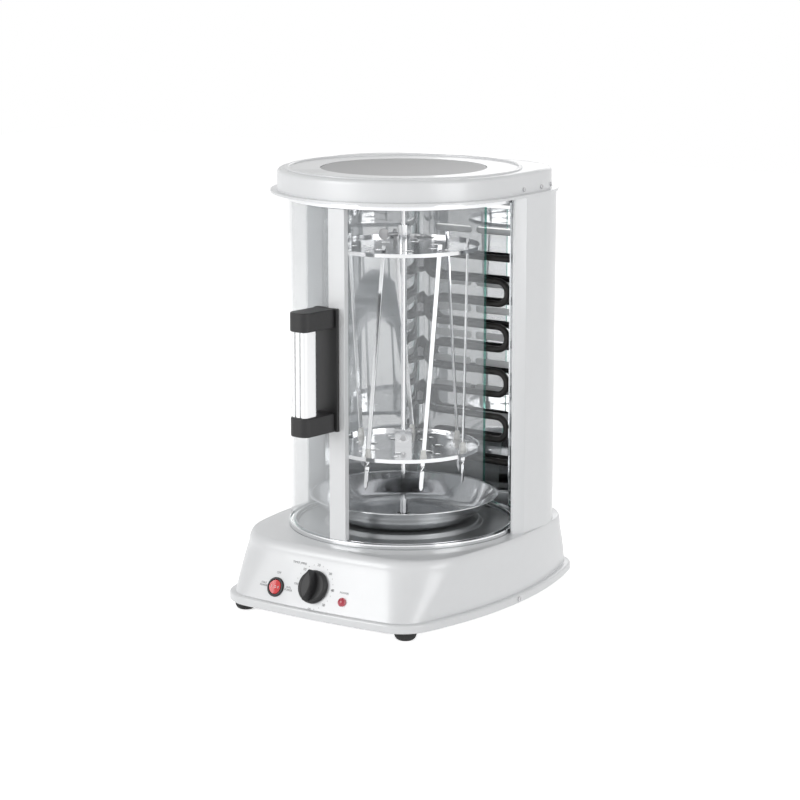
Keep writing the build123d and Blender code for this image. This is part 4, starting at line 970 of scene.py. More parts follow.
    def tray_mesh(self) -> bpy.types.Mesh:
        """The tray: a closed floor with slots, a rolled rim and the ledge under the housing.

        Returns:
            The mesh, in place.
        """
        low, high = (corner.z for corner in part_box("base_tray"))
        rim, sheet = self.rim_radius, self.sheet
        rings = [self.tray_ring(rim / 2, low), self.tray_ring(0.0, low + rim / 2)]
        rings += [self.tray_ring(rim * (1 - cosine), high - rim + rim * sine)
                  for cosine, sine in quarter(6)]
        rings += [self.tray_ring(self.ledge, high), self.tray_ring(self.ledge, high - sheet),
                  self.tray_ring(rim + sheet, high - sheet), self.tray_ring(sheet * 2, low + sheet)]
        mesh = skin("base_tray_pressing", rings)
        slots = []
        for row in range(self.vent_rows):
            slot = stub("slot", sheet, low - sheet, low + 2 * sheet, 16)
            for point in slot.vertices:
                point.co.x += math.copysign(self.vent_length / 2 - sheet, point.co.x + 1e-6)
                point.co.y += (row - (self.vent_rows - 1) / 2) * (high - low)
            slots.append(slot)
        return cut_out(mesh, slots)

    @staticmethod
    def on_circle(point: Point, radius: float) -> Flat:
        """The point of a circle that lies in the same direction.

        Args:
            point: A point.
            radius: The circle's radius.

        Returns:
            The point on the circle.
        """
        size = math.hypot(point[0], point[1])
        return (point[0] * radius / size, point[1] * radius / size)

    def towards(self, point: Point, radius: float, share: float) -> Point:
        """A point part of the way from a rim to a circle, at the rim's level.

        Args:
            point: The rim's point.
            radius: The circle's radius.
            share: How far along the way it is.

        Returns:
            The point between.
        """
        x, y = self.on_circle(point, radius)
        return (point[0] + (x - point[0]) * share, point[1] + (y - point[1]) * share, point[2])

    def foot_mesh(self) -> bpy.types.Mesh:
        """One domed rubber foot with a sunk hole for its screw.

        Returns:
            The mesh, standing on the ground at the origin.
        """
        radius, height = self.foot_radius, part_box("base_tray")[0].z
        hole, sink = self.screw_hole, self.screw_hole * 2
        profile = [(sink, 0.0), (radius * 0.5, 0.0)]
        profile += [(radius * (0.5 + 0.5 * sine), height * 0.75 * (1 - cosine))
                    for cosine, sine in quarter(9, 1)[:-1]]
        profile += [(radius, height), (hole, height), (hole, height / 2), (sink, height / 2)]
        return spun("foot", profile, 40)

    def foot_places(self) -> list[Place]:
        """The four places of the feet."""
        return [Place((side * self.foot_x, end * self.foot_y, 0.0))
                for side in (-1, 1) for end in (-1, 1)]

    def rim_screw_places(self) -> list[Place]:
        """The places of the screws round the tray's rim.

        Returns:
            The places of the four screws.
        """
        low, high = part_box("base_tray")
        level = (low.z + high.z) / 2
        places = [Place((side * self.tray_half_width, 0.0, level), (side, 0.0, 0.0),
                        (0.0, 1.0, 0.0)) for side in (-1, 1)]
        x = self.tray_half_width / 3
        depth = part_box("tray_screws")[1].y - self.screw_radius
        return places + [Place((side * x, depth, level), (0.0, 1.0, 0.0)) for side in (-1, 1)]

    def build(self) -> None:
        """Make and dress every piece of the base."""
        self.dress("base_housing", self.housing_mesh(), PAINT, ["base_shell"], angle=28.0)
        self.dress("base_tray_pressing", self.tray_mesh(), PAINT, ["base_tray"], angle=28.0)
        feet = Repeater("rubber_foot_set", RUBBER).copies(self.foot_mesh(), self.foot_places())
        self.dress("rubber_foot_set", feet, RUBBER, ["rubber_feet"])
        self.dress_node("foot_screws", SHEET_STEEL, 0.0)
        screw = screw_mesh(self.screw_head, self.screw_radius, self.screw_length,
                           self.screw_radius)
        screws = Repeater("tray_screw_set", SHEET_STEEL).copies(screw, self.rim_screw_places())
        self.dress("tray_screw_set", screws, SHEET_STEEL, ["tray_screws"])
        self.dress_node("cord_gland", BLACK, 0.0006)
        self.keep("terminal_block", CERAMIC)


# ------------------------------------------------------------------ chamber
@dataclass
class Chamber(Assembly):
    """The floor, the tracks and the mirror-polished reflector."""

    bead_radius: float = 0.127
    bead_half: float = 0.0015
    bead_height: float = 0.002
    step_radius: float = 0.090
    step_rise: float = 0.005
    bore: float = 0.0096
    sheet: float = 0.001
    track_wall: float = 0.0012
    channel_inner: float = 0.1302
    recess_front: float = 0.112
    recess_lift: float = 0.0001
    rail_edge: float = 0.0003

    def floor_profile(self) -> list[Flat]:
        """The floor's turned section: a flat edge, a bead, and a raised step in the middle.

        Returns:
            The (radius, height) points of the section.
        """
        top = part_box("lower_track")[0].z
        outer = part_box("lower_track")[1].x
        raised = top + self.step_rise
        upper: list[Flat] = [(self.bore, raised), (self.step_radius - 0.001, raised)]
        for step in range(7):
            part = step / 6
            smooth = part * part * (3 - 2 * part)
            upper.append((self.step_radius + self.step_rise * part,
                          raised - self.step_rise * smooth))
        start = self.bead_radius - self.bead_half
        for step in range(9):
            turn = math.pi * step / 8
            upper.append((start + self.bead_half * (1 - math.cos(turn)),
                          top + self.bead_height * math.sin(turn)))
        upper.append((outer, top))
        lower = [(radius, height - self.sheet) for radius, height in reversed(upper)]
        return upper + lower

    def track_profile(self, node: str, opening_up: bool) -> list[Flat]:
        """The channel section of a track.

        Args:
            node: The frame node that it stands for.
            opening_up: Whether the channel opens upwards.

        Returns:
            The closed (radius, height) section.
        """
        low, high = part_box(node)
        outer = high.x
        inside = self.channel_inner - self.track_wall
        web_out, web_in = outer - self.track_wall, inside + self.track_wall
        bottom, top = (low.z, high.z) if opening_up else (high.z, low.z)
        web = bottom + self.track_wall * (1 if opening_up else -1)
        return [(inside, bottom), (outer, bottom), (outer, top), (web_out, top),
                (web_out, web), (web_in, web), (web_in, top), (inside, top)]

    def recess_floor(self) -> bpy.types.Mesh:
        """The flat strip of floor under the heater's recess.

        Returns:
            The mesh, in place.
        """
        low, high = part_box("floor_plate")
        half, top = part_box("heater_clips")[1].x, high.z - self.step_rise
        return cuboid("recess_floor", (-half, self.recess_front, low.z + self.recess_lift),
                      (half, high.y, top))

    def build(self) -> None:
        """Make and dress the floor, tracks and reflector."""
        floor = spun("chamber_floor", self.floor_profile(), 192)
        self.dress("chamber_floor", floor, FLOOR_STEEL, ["floor_plate"], angle=50.0)
        self.dress("recess_floor", self.recess_floor(), FLOOR_STEEL)
        for node, opening_up in (("lower_track", True), ("upper_track", False)):
            profile = rounded(self.track_profile(node, opening_up), self.rail_edge, 2)
            self.dress(node + "_rail", spun(node, profile, 192), STEEL, [node], angle=50.0)
        self.dress_node("reflector", MIRROR, 0.0)
        self.keep("floor_bush", CERAMIC)


# ------------------------------------------------------------------ upper housing
@dataclass
class UpperHousing(Assembly):
    """The rear cover, side columns, cap and warming plate."""

    cap_corner: float = 0.085
    cap_radius: float = 0.148
    cap_rear: float = 0.150
    cover_corner_x: float = 0.065
    cover_side_end: float = 0.073
    cover_screw_x: float = 0.101
    cover_screw_inset: float = 0.0032
    warmer_radius: float = 0.097
    warmer_edge: float = 0.0008
    warmer_rim: float = 0.004
    warmer_dish: float = 0.0003
    flange_sheet: float = 0.003
    warmer_sink: float = 0.0004
    screw_margin: float = 0.01635
    screw_radius: float = 0.0016
    cap_screw_head: float = 0.0026
    cap_screw_length: float = 0.003
    cover_screw_head: float = 0.0032
    cover_screw_length: float = 0.010

    def cap_screw_places(self) -> list[Place]:
        """The places of the screws round the foot of the cap.

        Returns:
            The places of the screws.
        """
        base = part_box("cap_flange")[0].z + self.flange_sheet
        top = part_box("warming_plate")[1].z + self.warmer_sink
        level = base + (top - base) / 5
        side_end = self.cap_rear - self.cap_corner
        corner_x = self.cap_radius - self.cap_corner
        turn = math.radians(20.0)
        places = []
        for side in (-1, 1):
            for y in (side_end * 0.4, side_end):
                places.append(Place((side * self.cap_radius, y, level), (side, 0.0, 0.0),
                                    (0.0, 1.0, 0.0)))
            facing = (side * math.cos(turn), math.sin(turn), 0.0)
            point = (side * (corner_x + self.cap_corner * math.cos(turn)),
                     side_end + self.cap_corner * math.sin(turn), level)
            places.append(Place(point, facing, (-facing[1], facing[0], 0.0)))
        return places

    def cover_screw_places(self) -> list[Place]:
        """The places of the screws down the back of the cover.

        Returns:
            The places of the six screws.
        """
        low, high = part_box("rear_cover")
        away = self.cover_screw_x - self.cover_screw_inset - self.cover_corner_x
        y = self.cover_side_end + math.sqrt(self.cap_corner ** 2 - away ** 2)
        levels = [low.z + self.screw_margin, (low.z + high.z) / 2, high.z - self.screw_margin]
        return [Place((side * self.cover_screw_x, y, level), (0.0, 1.0, 0.0))
                for side in (-1, 1) for level in levels]

    def warmer_mesh(self) -> bpy.types.Mesh:
        """The warming plate, a shallow turned disc with a rolled edge.

        Returns:
            The mesh, in place.
        """
        low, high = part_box("warming_plate")
        radius, edge, rim = self.warmer_radius, self.warmer_edge, self.warmer_rim
        profile = [(0.0, low.z), (radius, low.z), (radius, high.z - edge)]
        profile += [(radius - edge * (1 - cosine), high.z - edge * (1 - sine))
                    for cosine, sine in quarter(5, 1)]
        profile += [(radius - rim, high.z), (radius - rim * 1.5, high.z - self.warmer_dish),
                    (0.0, high.z - self.warmer_dish)]
        return spun("warming_disc", profile, 160)

    def build(self) -> None:
        """Make and dress every piece of the upper housing."""
        for node in ("rear_cover", "left_column", "right_column"):
            self.dress_node(node, PAINT, 0.0004)
        self.dress_node("cap_flange", PAINT, 0.0003)
        self.dress_node("cap_shell", PAINT, 0.0004)
        self.dress("warming_disc", self.warmer_mesh(), WARMER, ["warming_plate"])
        self.keep("rear_posts", SHEET_STEEL)
        self.keep("upper_bearing", CERAMIC)
        small = screw_mesh(self.cap_screw_head, self.screw_radius, self.cap_screw_length,
                           self.screw_radius)
        screws = Repeater("cap_screw_set", SHEET_STEEL).copies(small, self.cap_screw_places())
        self.dress("cap_screw_set", screws, SHEET_STEEL, ["cap_screws"])
        large = screw_mesh(self.cover_screw_head, self.screw_radius, self.cover_screw_length,
                           self.screw_radius)
        screws = Repeater("cover_screw_set", SHEET_STEEL).copies(large, self.cover_screw_places())
        self.dress("cover_screw_set", screws, SHEET_STEEL, ["cover_screws"])


# ------------------------------------------------------------------ heater
@dataclass
class Heater(Assembly):
    """The black tubular heater, its ceramic sleeves and clips."""

    radius: float = 0.004
    plane: float = 0.144
    half_width: float = 0.063
    shift: float = -0.004
    pitch: float = 0.0281
    runs: int = 10
    first_level: float = 0.1383
    end_x: float = 0.082
    bend_steps: int = 14

    def path(self) -> list[Vector]:
        """The centre line: level runs joined by half-round bends.

        Returns:
            The points of the line.
        """
        bend = self.pitch / 2
        inner = self.half_width - self.radius - bend
        points = [Vector((self.end_x, self.plane, self.first_level))]
        for run in range(self.runs - 1):
            side = -1.0 if run % 2 == 0 else 1.0
            low = self.first_level + run * self.pitch
            for step in range(self.bend_steps + 1):
                turn = math.pi * step / self.bend_steps
                points.append(Vector((self.shift + side * (inner + bend * math.sin(turn)),
                                      self.plane, low + bend * (1 - math.cos(turn)))))
        last = self.first_level + (self.runs - 1) * self.pitch
        points.append(Vector((self.end_x, self.plane, last)))
        return points

    def build(self) -> None:
        """Make and dress the heater."""
        coil = tube("heater_coil", self.path(), self.radius)
        self.dress("heater_coil", coil, SHEATH, ["heater_element"], angle=60.0)
        self.keep("heater_terminals", CERAMIC)
        self.keep("heater_clips", SHEET_STEEL)


# ------------------------------------------------------------------ drive
@dataclass
class Drive(Assembly):
    """The gearmotor and its bracket, under the floor."""

    def build(self) -> None:
        """Dress the hidden drive."""
        for node in ("motor_bracket", "gearbox", "drive_motor"):
            self.dress_node(node, SHEET_STEEL, 0.0005)
        self.keep("timer_body", CERAMIC)


# ------------------------------------------------------------------ drip pan
@dataclass
class DripPan(Assembly):
    """The round steel drip pan with its rolled rim and collar."""

    body: str = "drip_pan"
    base_radius: float = 0.076
    rim_radius: float = 0.113
    collar: float = 0.009
    collar_rise: float = 0.004
    bend: float = 0.010
    lip: float = 0.003
    rounding: float = 0.006
    sheet: float = 0.001

    def mesh(self) -> bpy.types.Mesh:
        """The pan's skin, turned about the axis.

        Returns:
            The mesh, in place.
        """
        low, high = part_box("drip_pan")
        deep, top = low.z, high.z
        sheet = self.sheet
        outer = [(self.collar, deep), (self.base_radius, deep),
                 (self.base_radius + self.bend, deep + self.bend / 2),
                 (self.rim_radius - self.lip, top - sheet), (self.rim_radius, top - sheet)]
        inner = [(self.rim_radius, top), (self.rim_radius - self.lip - sheet, top),
                 (self.base_radius + self.bend - sheet / 2, deep + self.bend / 2 + sheet),
                 (self.base_radius - sheet / 2, deep + sheet), (self.collar + sheet, deep + sheet),
                 (self.collar, deep + self.collar_rise),
                 (self.collar - sheet, deep + self.collar_rise), (self.collar - sheet, deep)]
        return spun("pan", rounded(outer + inner, self.rounding, 6), 192)

    def build(self) -> None:
        """Make and dress the pan."""
        self.dress("steel_pan", self.mesh(), STEEL, ["drip_pan"], angle=70.0)


# ------------------------------------------------------------------ turning cage
@dataclass
class Cage(Assembly):
    """The turning cage: shaft, discs, hubs, skewers and their bushes."""

    body: str = "cage"
    count: int = 7
    circle: float = 0.075
    first_azimuth: float = -90.0
    twist: float = 15.7
    lower_z: float = 0.178
    upper_z: float = 0.418
    disc_sheet: float = 0.0012
    tip_z: float = 0.140
    head: float = 0.012
    width: float = 0.005
    thickness: float = 0.0018
    bush_radius: float = 0.004
    bush_height: float = 0.011
    tip_length: float = 0.005
    twist_first: float = 0.023
    twist_last: float = 0.035
    blade_edge: float = 0.0003
    tip_width: float = 0.06
    tip_sheet: float = 0.12
    tip_growth: float = 1.6
    end_width: float = 0.7
    bush_edge: float = 0.0006

    def azimuths(self) -> list[float]:
        """The azimuth of each skewer at the lower disc."""
        return [self.first_azimuth + 360.0 * number / self.count for number in range(self.count)]

    def line(self, azimuth: float, level: float) -> tuple[Vector, Vector]:
        """Where a leaning skewer stands at a level, and which way it leans.

        Args:
            azimuth: Its azimuth at the lower disc, in degrees.
            level: The level.

        Returns:
            The point and the direction.
        """
        low = self.polar(azimuth, self.lower_z)
        high = self.polar(azimuth + self.twist, self.upper_z)
        lean = (high - low).normalized()
        return low + lean * ((level - self.lower_z) / lean.z), lean

    def polar(self, azimuth: float, level: float) -> Vector:
        """The point of the skewers' circle at an azimuth and level.

        Args:
            azimuth: The azimuth, in degrees.
            level: The level.

        Returns:
            The point.
        """
        turn = math.radians(azimuth)
        return Vector((self.circle * math.cos(turn), self.circle * math.sin(turn), level))

    def skewer_mesh(self) -> bpy.types.Mesh:
        """One flat pointed blade along Z, with half a turn of twist below the lower disc.

        Returns:
            The mesh, with its point at the origin.
        """
        _, lean = self.line(0.0, self.lower_z)
        length = (self.upper_z + self.head - self.tip_z) / lean.z
        tip, first, last = self.tip_length, self.twist_first, self.twist_last
        stations = [0.0, tip * 0.5, tip]
        stations += [first + (last - first) * step / 20 for step in range(21)]
        stations += [length * 0.5, length - 2 * self.blade_edge, length]
        edge = self.blade_edge
        rings = []
        for station in stations:
            part = min(max((station - first) / (last - first), 0.0), 1.0)
            turn = math.pi * part
            narrow = min(station / tip, 1.0) * (self.end_width if station == length else 1.0)
            half = self.width / 2 * max(narrow, self.tip_width)
            thin = self.thickness / 2 * max(min(narrow * self.tip_growth, 1.0), self.tip_sheet)
            corners = ((half, thin - edge), (half - edge, thin), (edge - half, thin),
                       (-half, thin - edge), (-half, edge - thin), (edge - half, -thin),
                       (half - edge, -thin), (half, edge - thin))
            rings.append([(x * math.cos(turn) - y * math.sin(turn),
                           x * math.sin(turn) + y * math.cos(turn), station)
                          for x, y in corners])
        return skin("skewer", rings)

    def skewer_places(self, level: float) -> list[Place]:
        """Where each skewer's line passes a level, and how it is turned there.

        Args:
            level: The level.

        Returns:
            The places.
        """
        places = []
        for azimuth in self.azimuths():
            point, lean = self.line(azimuth, level)
            turn = math.radians(azimuth)
            places.append(Place(tuple(point), tuple(lean),
                                (-math.sin(turn), math.cos(turn), 0.0)))
        return places

    def bush_mesh(self) -> bpy.types.Mesh:
        """One pale bush, a short round stud with a waist.

        Returns:
            The mesh, standing at the origin.
        """
        radius, height = self.bush_radius, self.bush_height
        profile = [(0.0, 0.0), (radius, 0.0), (radius, height * 0.35),
                   (radius * 0.82, height * 0.45), (radius * 0.82, height * 0.85),
                   (radius * 0.55, height), (0.0, height)]
        return spun("bush", rounded(profile, self.bush_edge, 3), 28)

    def bush_places(self) -> list[Place]:
        """The upright places of the bushes on the lower disc.

        Returns:
            The places of the bushes.
        """
        bottom = self.lower_z + self.disc_sheet
        middles = [self.line(azimuth, bottom + self.bush_height / 2)[0]
                   for azimuth in self.azimuths()]
        return [Place((middle.x, middle.y, bottom)) for middle in middles]

    def build(self) -> None:
        """Make and dress every piece of the cage."""
        skewers = Repeater("skewer_set", STEEL).copies(self.skewer_mesh(),
                                                       self.skewer_places(self.tip_z))
        self.dress("skewer_set", skewers, STEEL, ["skewers"])
        bushes = Repeater("bush_set", CERAMIC).copies(self.bush_mesh(), self.bush_places())
        self.dress("bush_set", bushes, CERAMIC, ["skewer_bushes"])
        for node, edge in (("drive_socket", 0.0004), ("cage_shaft", 0.0), ("lower_disc", 0.0002),
                           ("upper_disc", 0.0002), ("lower_hub", 0.0008), ("upper_hub", 0.0006)):
            self.dress_node(node, STEEL, edge)
        self.dress_node("hub_screw", SHEET_STEEL, 0.0)
        self.dress_node("thumb_screw", SHEET_STEEL, 0.0, body="thumb_screw")


# ------------------------------------------------------------------ door
@dataclass
class Door(Assembly):
    """The curved glass, its painted post and the handle."""

    body: str = "door"
    glass_outer: float = 0.135
    glass_inner: float = 0.131
    glass_start: float = -92.0
    glass_span: float = 192.0
    handle_azimuth: float = -95.5
    plate_outer: float = 0.1411
    grip_outer: float = 0.191
    arm_half: float = 0.014
    arm_corner: float = 0.0105
    glass_edge: float = 0.0008

    def glass_mesh(self) -> bpy.types.Mesh:
        """The bent pane with ground edges, whose ends show the glass's green.

        Returns:
            The mesh, in place.
        """
        low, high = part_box("door_glass")
        section = rounded([(self.glass_inner, low.z), (self.glass_outer, low.z),
                           (self.glass_outer, high.z), (self.glass_inner, high.z)],
                          self.glass_edge, 2)
        mesh = bent_wall("curved_pane", section, self.glass_start - self.glass_span,
                         self.glass_start, 160)
        mesh.materials.append(GLASS.material())
        mesh.materials.append(GLASS_EDGE.material())
        for face in mesh.polygons:
            radial = Vector((face.center.x, face.center.y, 0.0)).normalized()
            if abs(face.normal.dot(radial)) < 0.5:
                face.material_index = 1
        return mesh

    def arm_mesh(self, node: str) -> bpy.types.Mesh:
        """One arm of the handle, a block with round outer corners.

        Args:
            node: The frame node that it stands for.

        Returns:
            The arm's mesh, in place.
        """
        half, corner, steps = self.arm_half, self.arm_corner, 10
        spread = math.asin(half / self.plate_outer)
        outline = [(self.plate_outer * math.cos(spread * part), self.plate_outer
                    * math.sin(spread * part)) for part in (1.0, 0.5, 0.0, -0.5, -1.0)]
        inner, side = self.grip_outer - corner, half - corner
        for step in range(2 * steps + 2):
            turn = math.radians(90.0 * (step - (step > steps)) / steps - 90.0)
            middle = -side if step <= steps else side
            outline.append((inner + corner * math.cos(turn), middle + corner * math.sin(turn)))
        low, high = (end.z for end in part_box(node))
        mesh = skin(node + "_block", [[(x, y, level) for x, y in outline]
                                      for level in (low, high)])
        mesh.transform(Matrix.Rotation(math.radians(self.handle_azimuth), 4, "Z"))
        return mesh

    def build(self) -> None:
        """Make and dress every piece of the door."""
        self.dress("curved_pane", self.glass_mesh(), GLASS, ["door_glass"], angle=40.0)
        self.dress_node("door_post", PAINT, 0.0005)
        self.keep("door_guides", SHEET_STEEL)
        self.dress_node("handle_plate", BLACK, 0.0008)
        self.dress_node("handle_pads", BLACK, 0.0003)
        for node in ("handle_lower_arm", "handle_upper_arm"):
            self.dress(node + "_block", self.arm_mesh(node), BLACK, [node], 0.0015)
        self.dress_node("handle_grip", ALUMINIUM, 0.0004)


# ------------------------------------------------------------------ controls
class Mark(Enum):
    """The plain words on the control panel; their places from a control's centre are set in
    Controls.panel_words.
    """

    OFF = "OFF"
    HALF = "HALF\nPOWER"
    FULL = "FULL\nPOWER"
    TIMER = "TIMER (MIN)"
    ON = "ON"
    POWER = "POWER"


@dataclass
class Controls(Assembly):
    """The timer knob, the three-way rocker, the lamp and the printed dial."""

    base: Base = field(default_factory=Base)
    knob_x: float = -0.0047
    knob_rise: float = 0.026
    knob_radius: float = 0.0195
    knob_skirt: float = 0.007
    knob_height: float = 0.019
    grip_width: float = 0.013
    knob_gap: float = 0.0004
    rocker_x: float = -0.058
    rocker_rise: float = 0.0175
    lamp_x: float = 0.0375
    lamp_rise: float = 0.0147
    lamp_radius: float = 0.0052
    dial_radius: float = 0.0258
    dial_numbers: tuple[str, ...] = ("10", "20", "30", "40", "50", "60")
    dial_step: float = 45.0
    dial_first: float = -45.0
    print_size: float = 0.0031
    print_depth: float = 0.00008
    dot_radius: float = 0.00042
    dish_radius: float = 0.0344
    mark_size: float = 0.003
    mark_depth: float = 0.00012
    mark_reach: float = 0.0048
    mark_high: float = 0.00212
    mark_low: float = 0.00142
    lamp_low: float = 0.0006
    lamp_high: float = 0.0038
    knob_edge: float = 0.0008
    off_above: float = 0.017
    off_size: float = 0.0027
    level_beside: float = 0.0185
    level_above: float = 0.001
    level_size: float = 0.0023
    timer_left: float = 0.027
    timer_above: float = 0.0245
    timer_size: float = 0.0026
    power_above: float = 0.0105
    power_size: float = 0.0025

    def knob_mesh(self) -> bpy.types.Mesh:
        """The knob: a dished skirt with a lens-shaped grip across it.

        Returns:
            The mesh, with its foot at the origin.
        """
        radius, skirt, gap = self.knob_radius, self.knob_skirt, self.knob_gap
        profile = [(0.0, gap), (radius, gap), (radius * 0.985, skirt * 0.55),
                   (radius * 0.93, skirt * 0.86), (radius * 0.86, skirt), (0.0, skirt)]
        disc = spun("knob_disc", rounded(profile, self.knob_edge, 3), 96)
        return joined("round_knob", [disc, self.grip_mesh()])

    def grip_mesh(self) -> bpy.types.Mesh:
        """The lens-shaped grip, with a softened top edge.

        Returns:
            The mesh, in the place that it has on the knob.
        """
        reach, half = self.knob_radius * 0.94, self.grip_width / 2
        bow = (reach ** 2 + half ** 2) / (2 * half)
        steps = 28
        outline: list[Flat] = []
        for side in (1.0, -1.0):
            limit = math.asin(reach / bow)
            for step in range(steps):
                turn = -limit + 2 * limit * step / steps
                x = side * (bow * math.cos(turn) - (bow - half))
                outline.append((x, side * bow * math.sin(turn)))
        low, high = self.knob_skirt - 0.001, self.knob_height
        rings = [(low, 1.0), (high - 0.0022, 0.985), (high - 0.0008, 0.955), (high - 0.0002, 0.91),
                 (high, 0.86), (high - 0.0006, 0.80)]
        return skin("knob_grip", [[(x * size, y * size, level) for x, y in outline]
                                  for level, size in rings])

    def lettering(self, words: str, size: float, place: Matrix, depth: float) -> bpy.types.Mesh:
        """Raised print as a thin mesh.

        Args:
            words: What it says.
            size: The height of its letters.
            place: Where it stands.
            depth: How far it stands proud.

        Returns:
            The mesh of the letters, in place.
        """
        curve = bpy.data.curves.new("print", "FONT")
        curve.body = words
        curve.size = size * 1.4
        curve.align_x, curve.align_y = "CENTER", "CENTER"
        curve.resolution_u = 3
        curve.extrude = depth
        text = new_object("print", curve)
        mesh = evaluated_mesh(text)
        bpy.data.objects.remove(text)
        mesh.transform(place)
        return mesh

    def panel_words(self) -> list[bpy.types.Mesh]:
        """The plain words round the controls.

        Returns:
            A mesh for each word, in place.
        """
        rocker_x, rocker_rise = Controls.rocker_x, Controls.rocker_rise
        spots = {
            Mark.OFF: (rocker_x, rocker_rise + self.off_above, self.off_size),
            Mark.HALF: (rocker_x - self.level_beside, rocker_rise + self.level_above,
                        self.level_size),
            Mark.FULL: (rocker_x + self.level_beside, rocker_rise + self.level_above,
                        self.level_size),
            Mark.TIMER: (self.knob_x - self.timer_left, self.knob_rise + self.timer_above,
                         self.timer_size),
            Mark.ON: (self.knob_x - self.dial_radius, self.knob_rise, self.timer_size),
            Mark.POWER: (self.lamp_x, self.lamp_rise + self.power_above, self.power_size),
        }
        return [self.lettering(mark.value, size, self.base.panel(x, rise), self.print_depth)
                for mark, (x, rise, size) in spots.items()]

    def dial_places(self) -> list[Place]:
        """Where the dots between the dial's numbers stand.

        Returns:
            The places of the dots.
        """
        centre = self.base.panel(self.knob_x, self.knob_rise)
        facing = centre.to_3x3() @ Vector((0.0, 0.0, 1.0))
        across = centre.to_3x3() @ Vector((1.0, 0.0, 0.0))
        places = []
        for gap in range(len(self.dial_numbers)):
            for part in (1, 2):
                turn = math.radians(self.dial_first - self.dial_step
                                    + self.dial_step * (gap + part / 3))
                spot = centre @ Vector((self.dial_radius * math.sin(turn),
                                        self.dial_radius * math.cos(turn), 0.0))
                places.append(Place(tuple(spot), tuple(facing), tuple(across)))
        return places

    def dial_mesh(self) -> bpy.types.Mesh:
        """The dial's numbers, dots and the plain words, as one thin print.

        Returns:
            The mesh, in place.
        """
        parts = self.panel_words()
        centre = self.base.panel(self.knob_x, self.knob_rise)
        for number, words in enumerate(self.dial_numbers):
            turn = math.radians(self.dial_first + self.dial_step * number)
            spot = Vector((self.dial_radius * math.sin(turn),
                           self.dial_radius * math.cos(turn), 0.0))
            parts.append(self.lettering(words, self.print_size,
                                        centre @ Matrix.Translation(spot), self.print_depth))
        dot = stub("dot", self.dot_radius, -self.print_depth, self.print_depth, 14)
        parts.append(Repeater("dial_dots", INK).copies(dot, self.dial_places()))
        return joined("dial_print", parts)

    def lamp_mesh(self) -> bpy.types.Mesh:
        """The lamp's domed red lens.

        Returns:
            The mesh, in place.
        """
        radius = self.lamp_radius * 0.88
        low, high = self.lamp_low, self.lamp_high
        profile: list[Flat] = [(0.0, low), (radius, low)]
        profile += [(radius * cosine * 0.98, low * 2 + (high - low * 2) * sine)
                    for cosine, sine in quarter(8)]
        mesh = spun("lamp_dome", profile, 48)
        mesh.transform(self.base.panel(self.lamp_x, self.lamp_rise))
        return mesh

    def rocker_marks(self) -> bpy.types.Mesh:
        """The plain I, O and II on the rocker's face.

        Returns:
            The mesh, in place.
        """
        place = self.base.panel(Controls.rocker_x, Controls.rocker_rise)
        parts = []
        for words, x, level in (("I", -self.mark_reach, self.mark_high), ("O", 0.0, self.mark_low),
                                ("II", self.mark_reach, self.mark_high)):
            tilt = Matrix.Rotation(x / self.dish_radius, 4, "Y")
            spot = place @ Matrix.Translation((x, 0.0, level)) @ tilt.inverted()
            parts.append(self.lettering(words, self.mark_size, spot, self.mark_depth))
        return joined("rocker_marks", parts)

    def build(self) -> None:
        """Make and dress every control."""
        knob = self.knob_mesh()
        knob.transform(self.base.panel(self.knob_x, self.knob_rise))
        self.dress("round_knob", knob, BLACK, ["timer_knob"], angle=30.0, body="timer_knob")
        self.keep("timer_spindle", SHEET_STEEL)
        self.dress_node("switch_body", BLACK, 0.0)
        self.dress_node("rocker", RED, 0.0003, body="rocker")
        self.dress("rocker_marks", self.rocker_marks(), WHITE_INK, body="rocker")
        self.dress_node("lamp_bezel", LENS, 0.0002)
        self.dress("lamp_dome", self.lamp_mesh(), LENS, ["lamp_lens"], angle=60.0)
        self.dress("dial_print", self.dial_mesh(), INK)


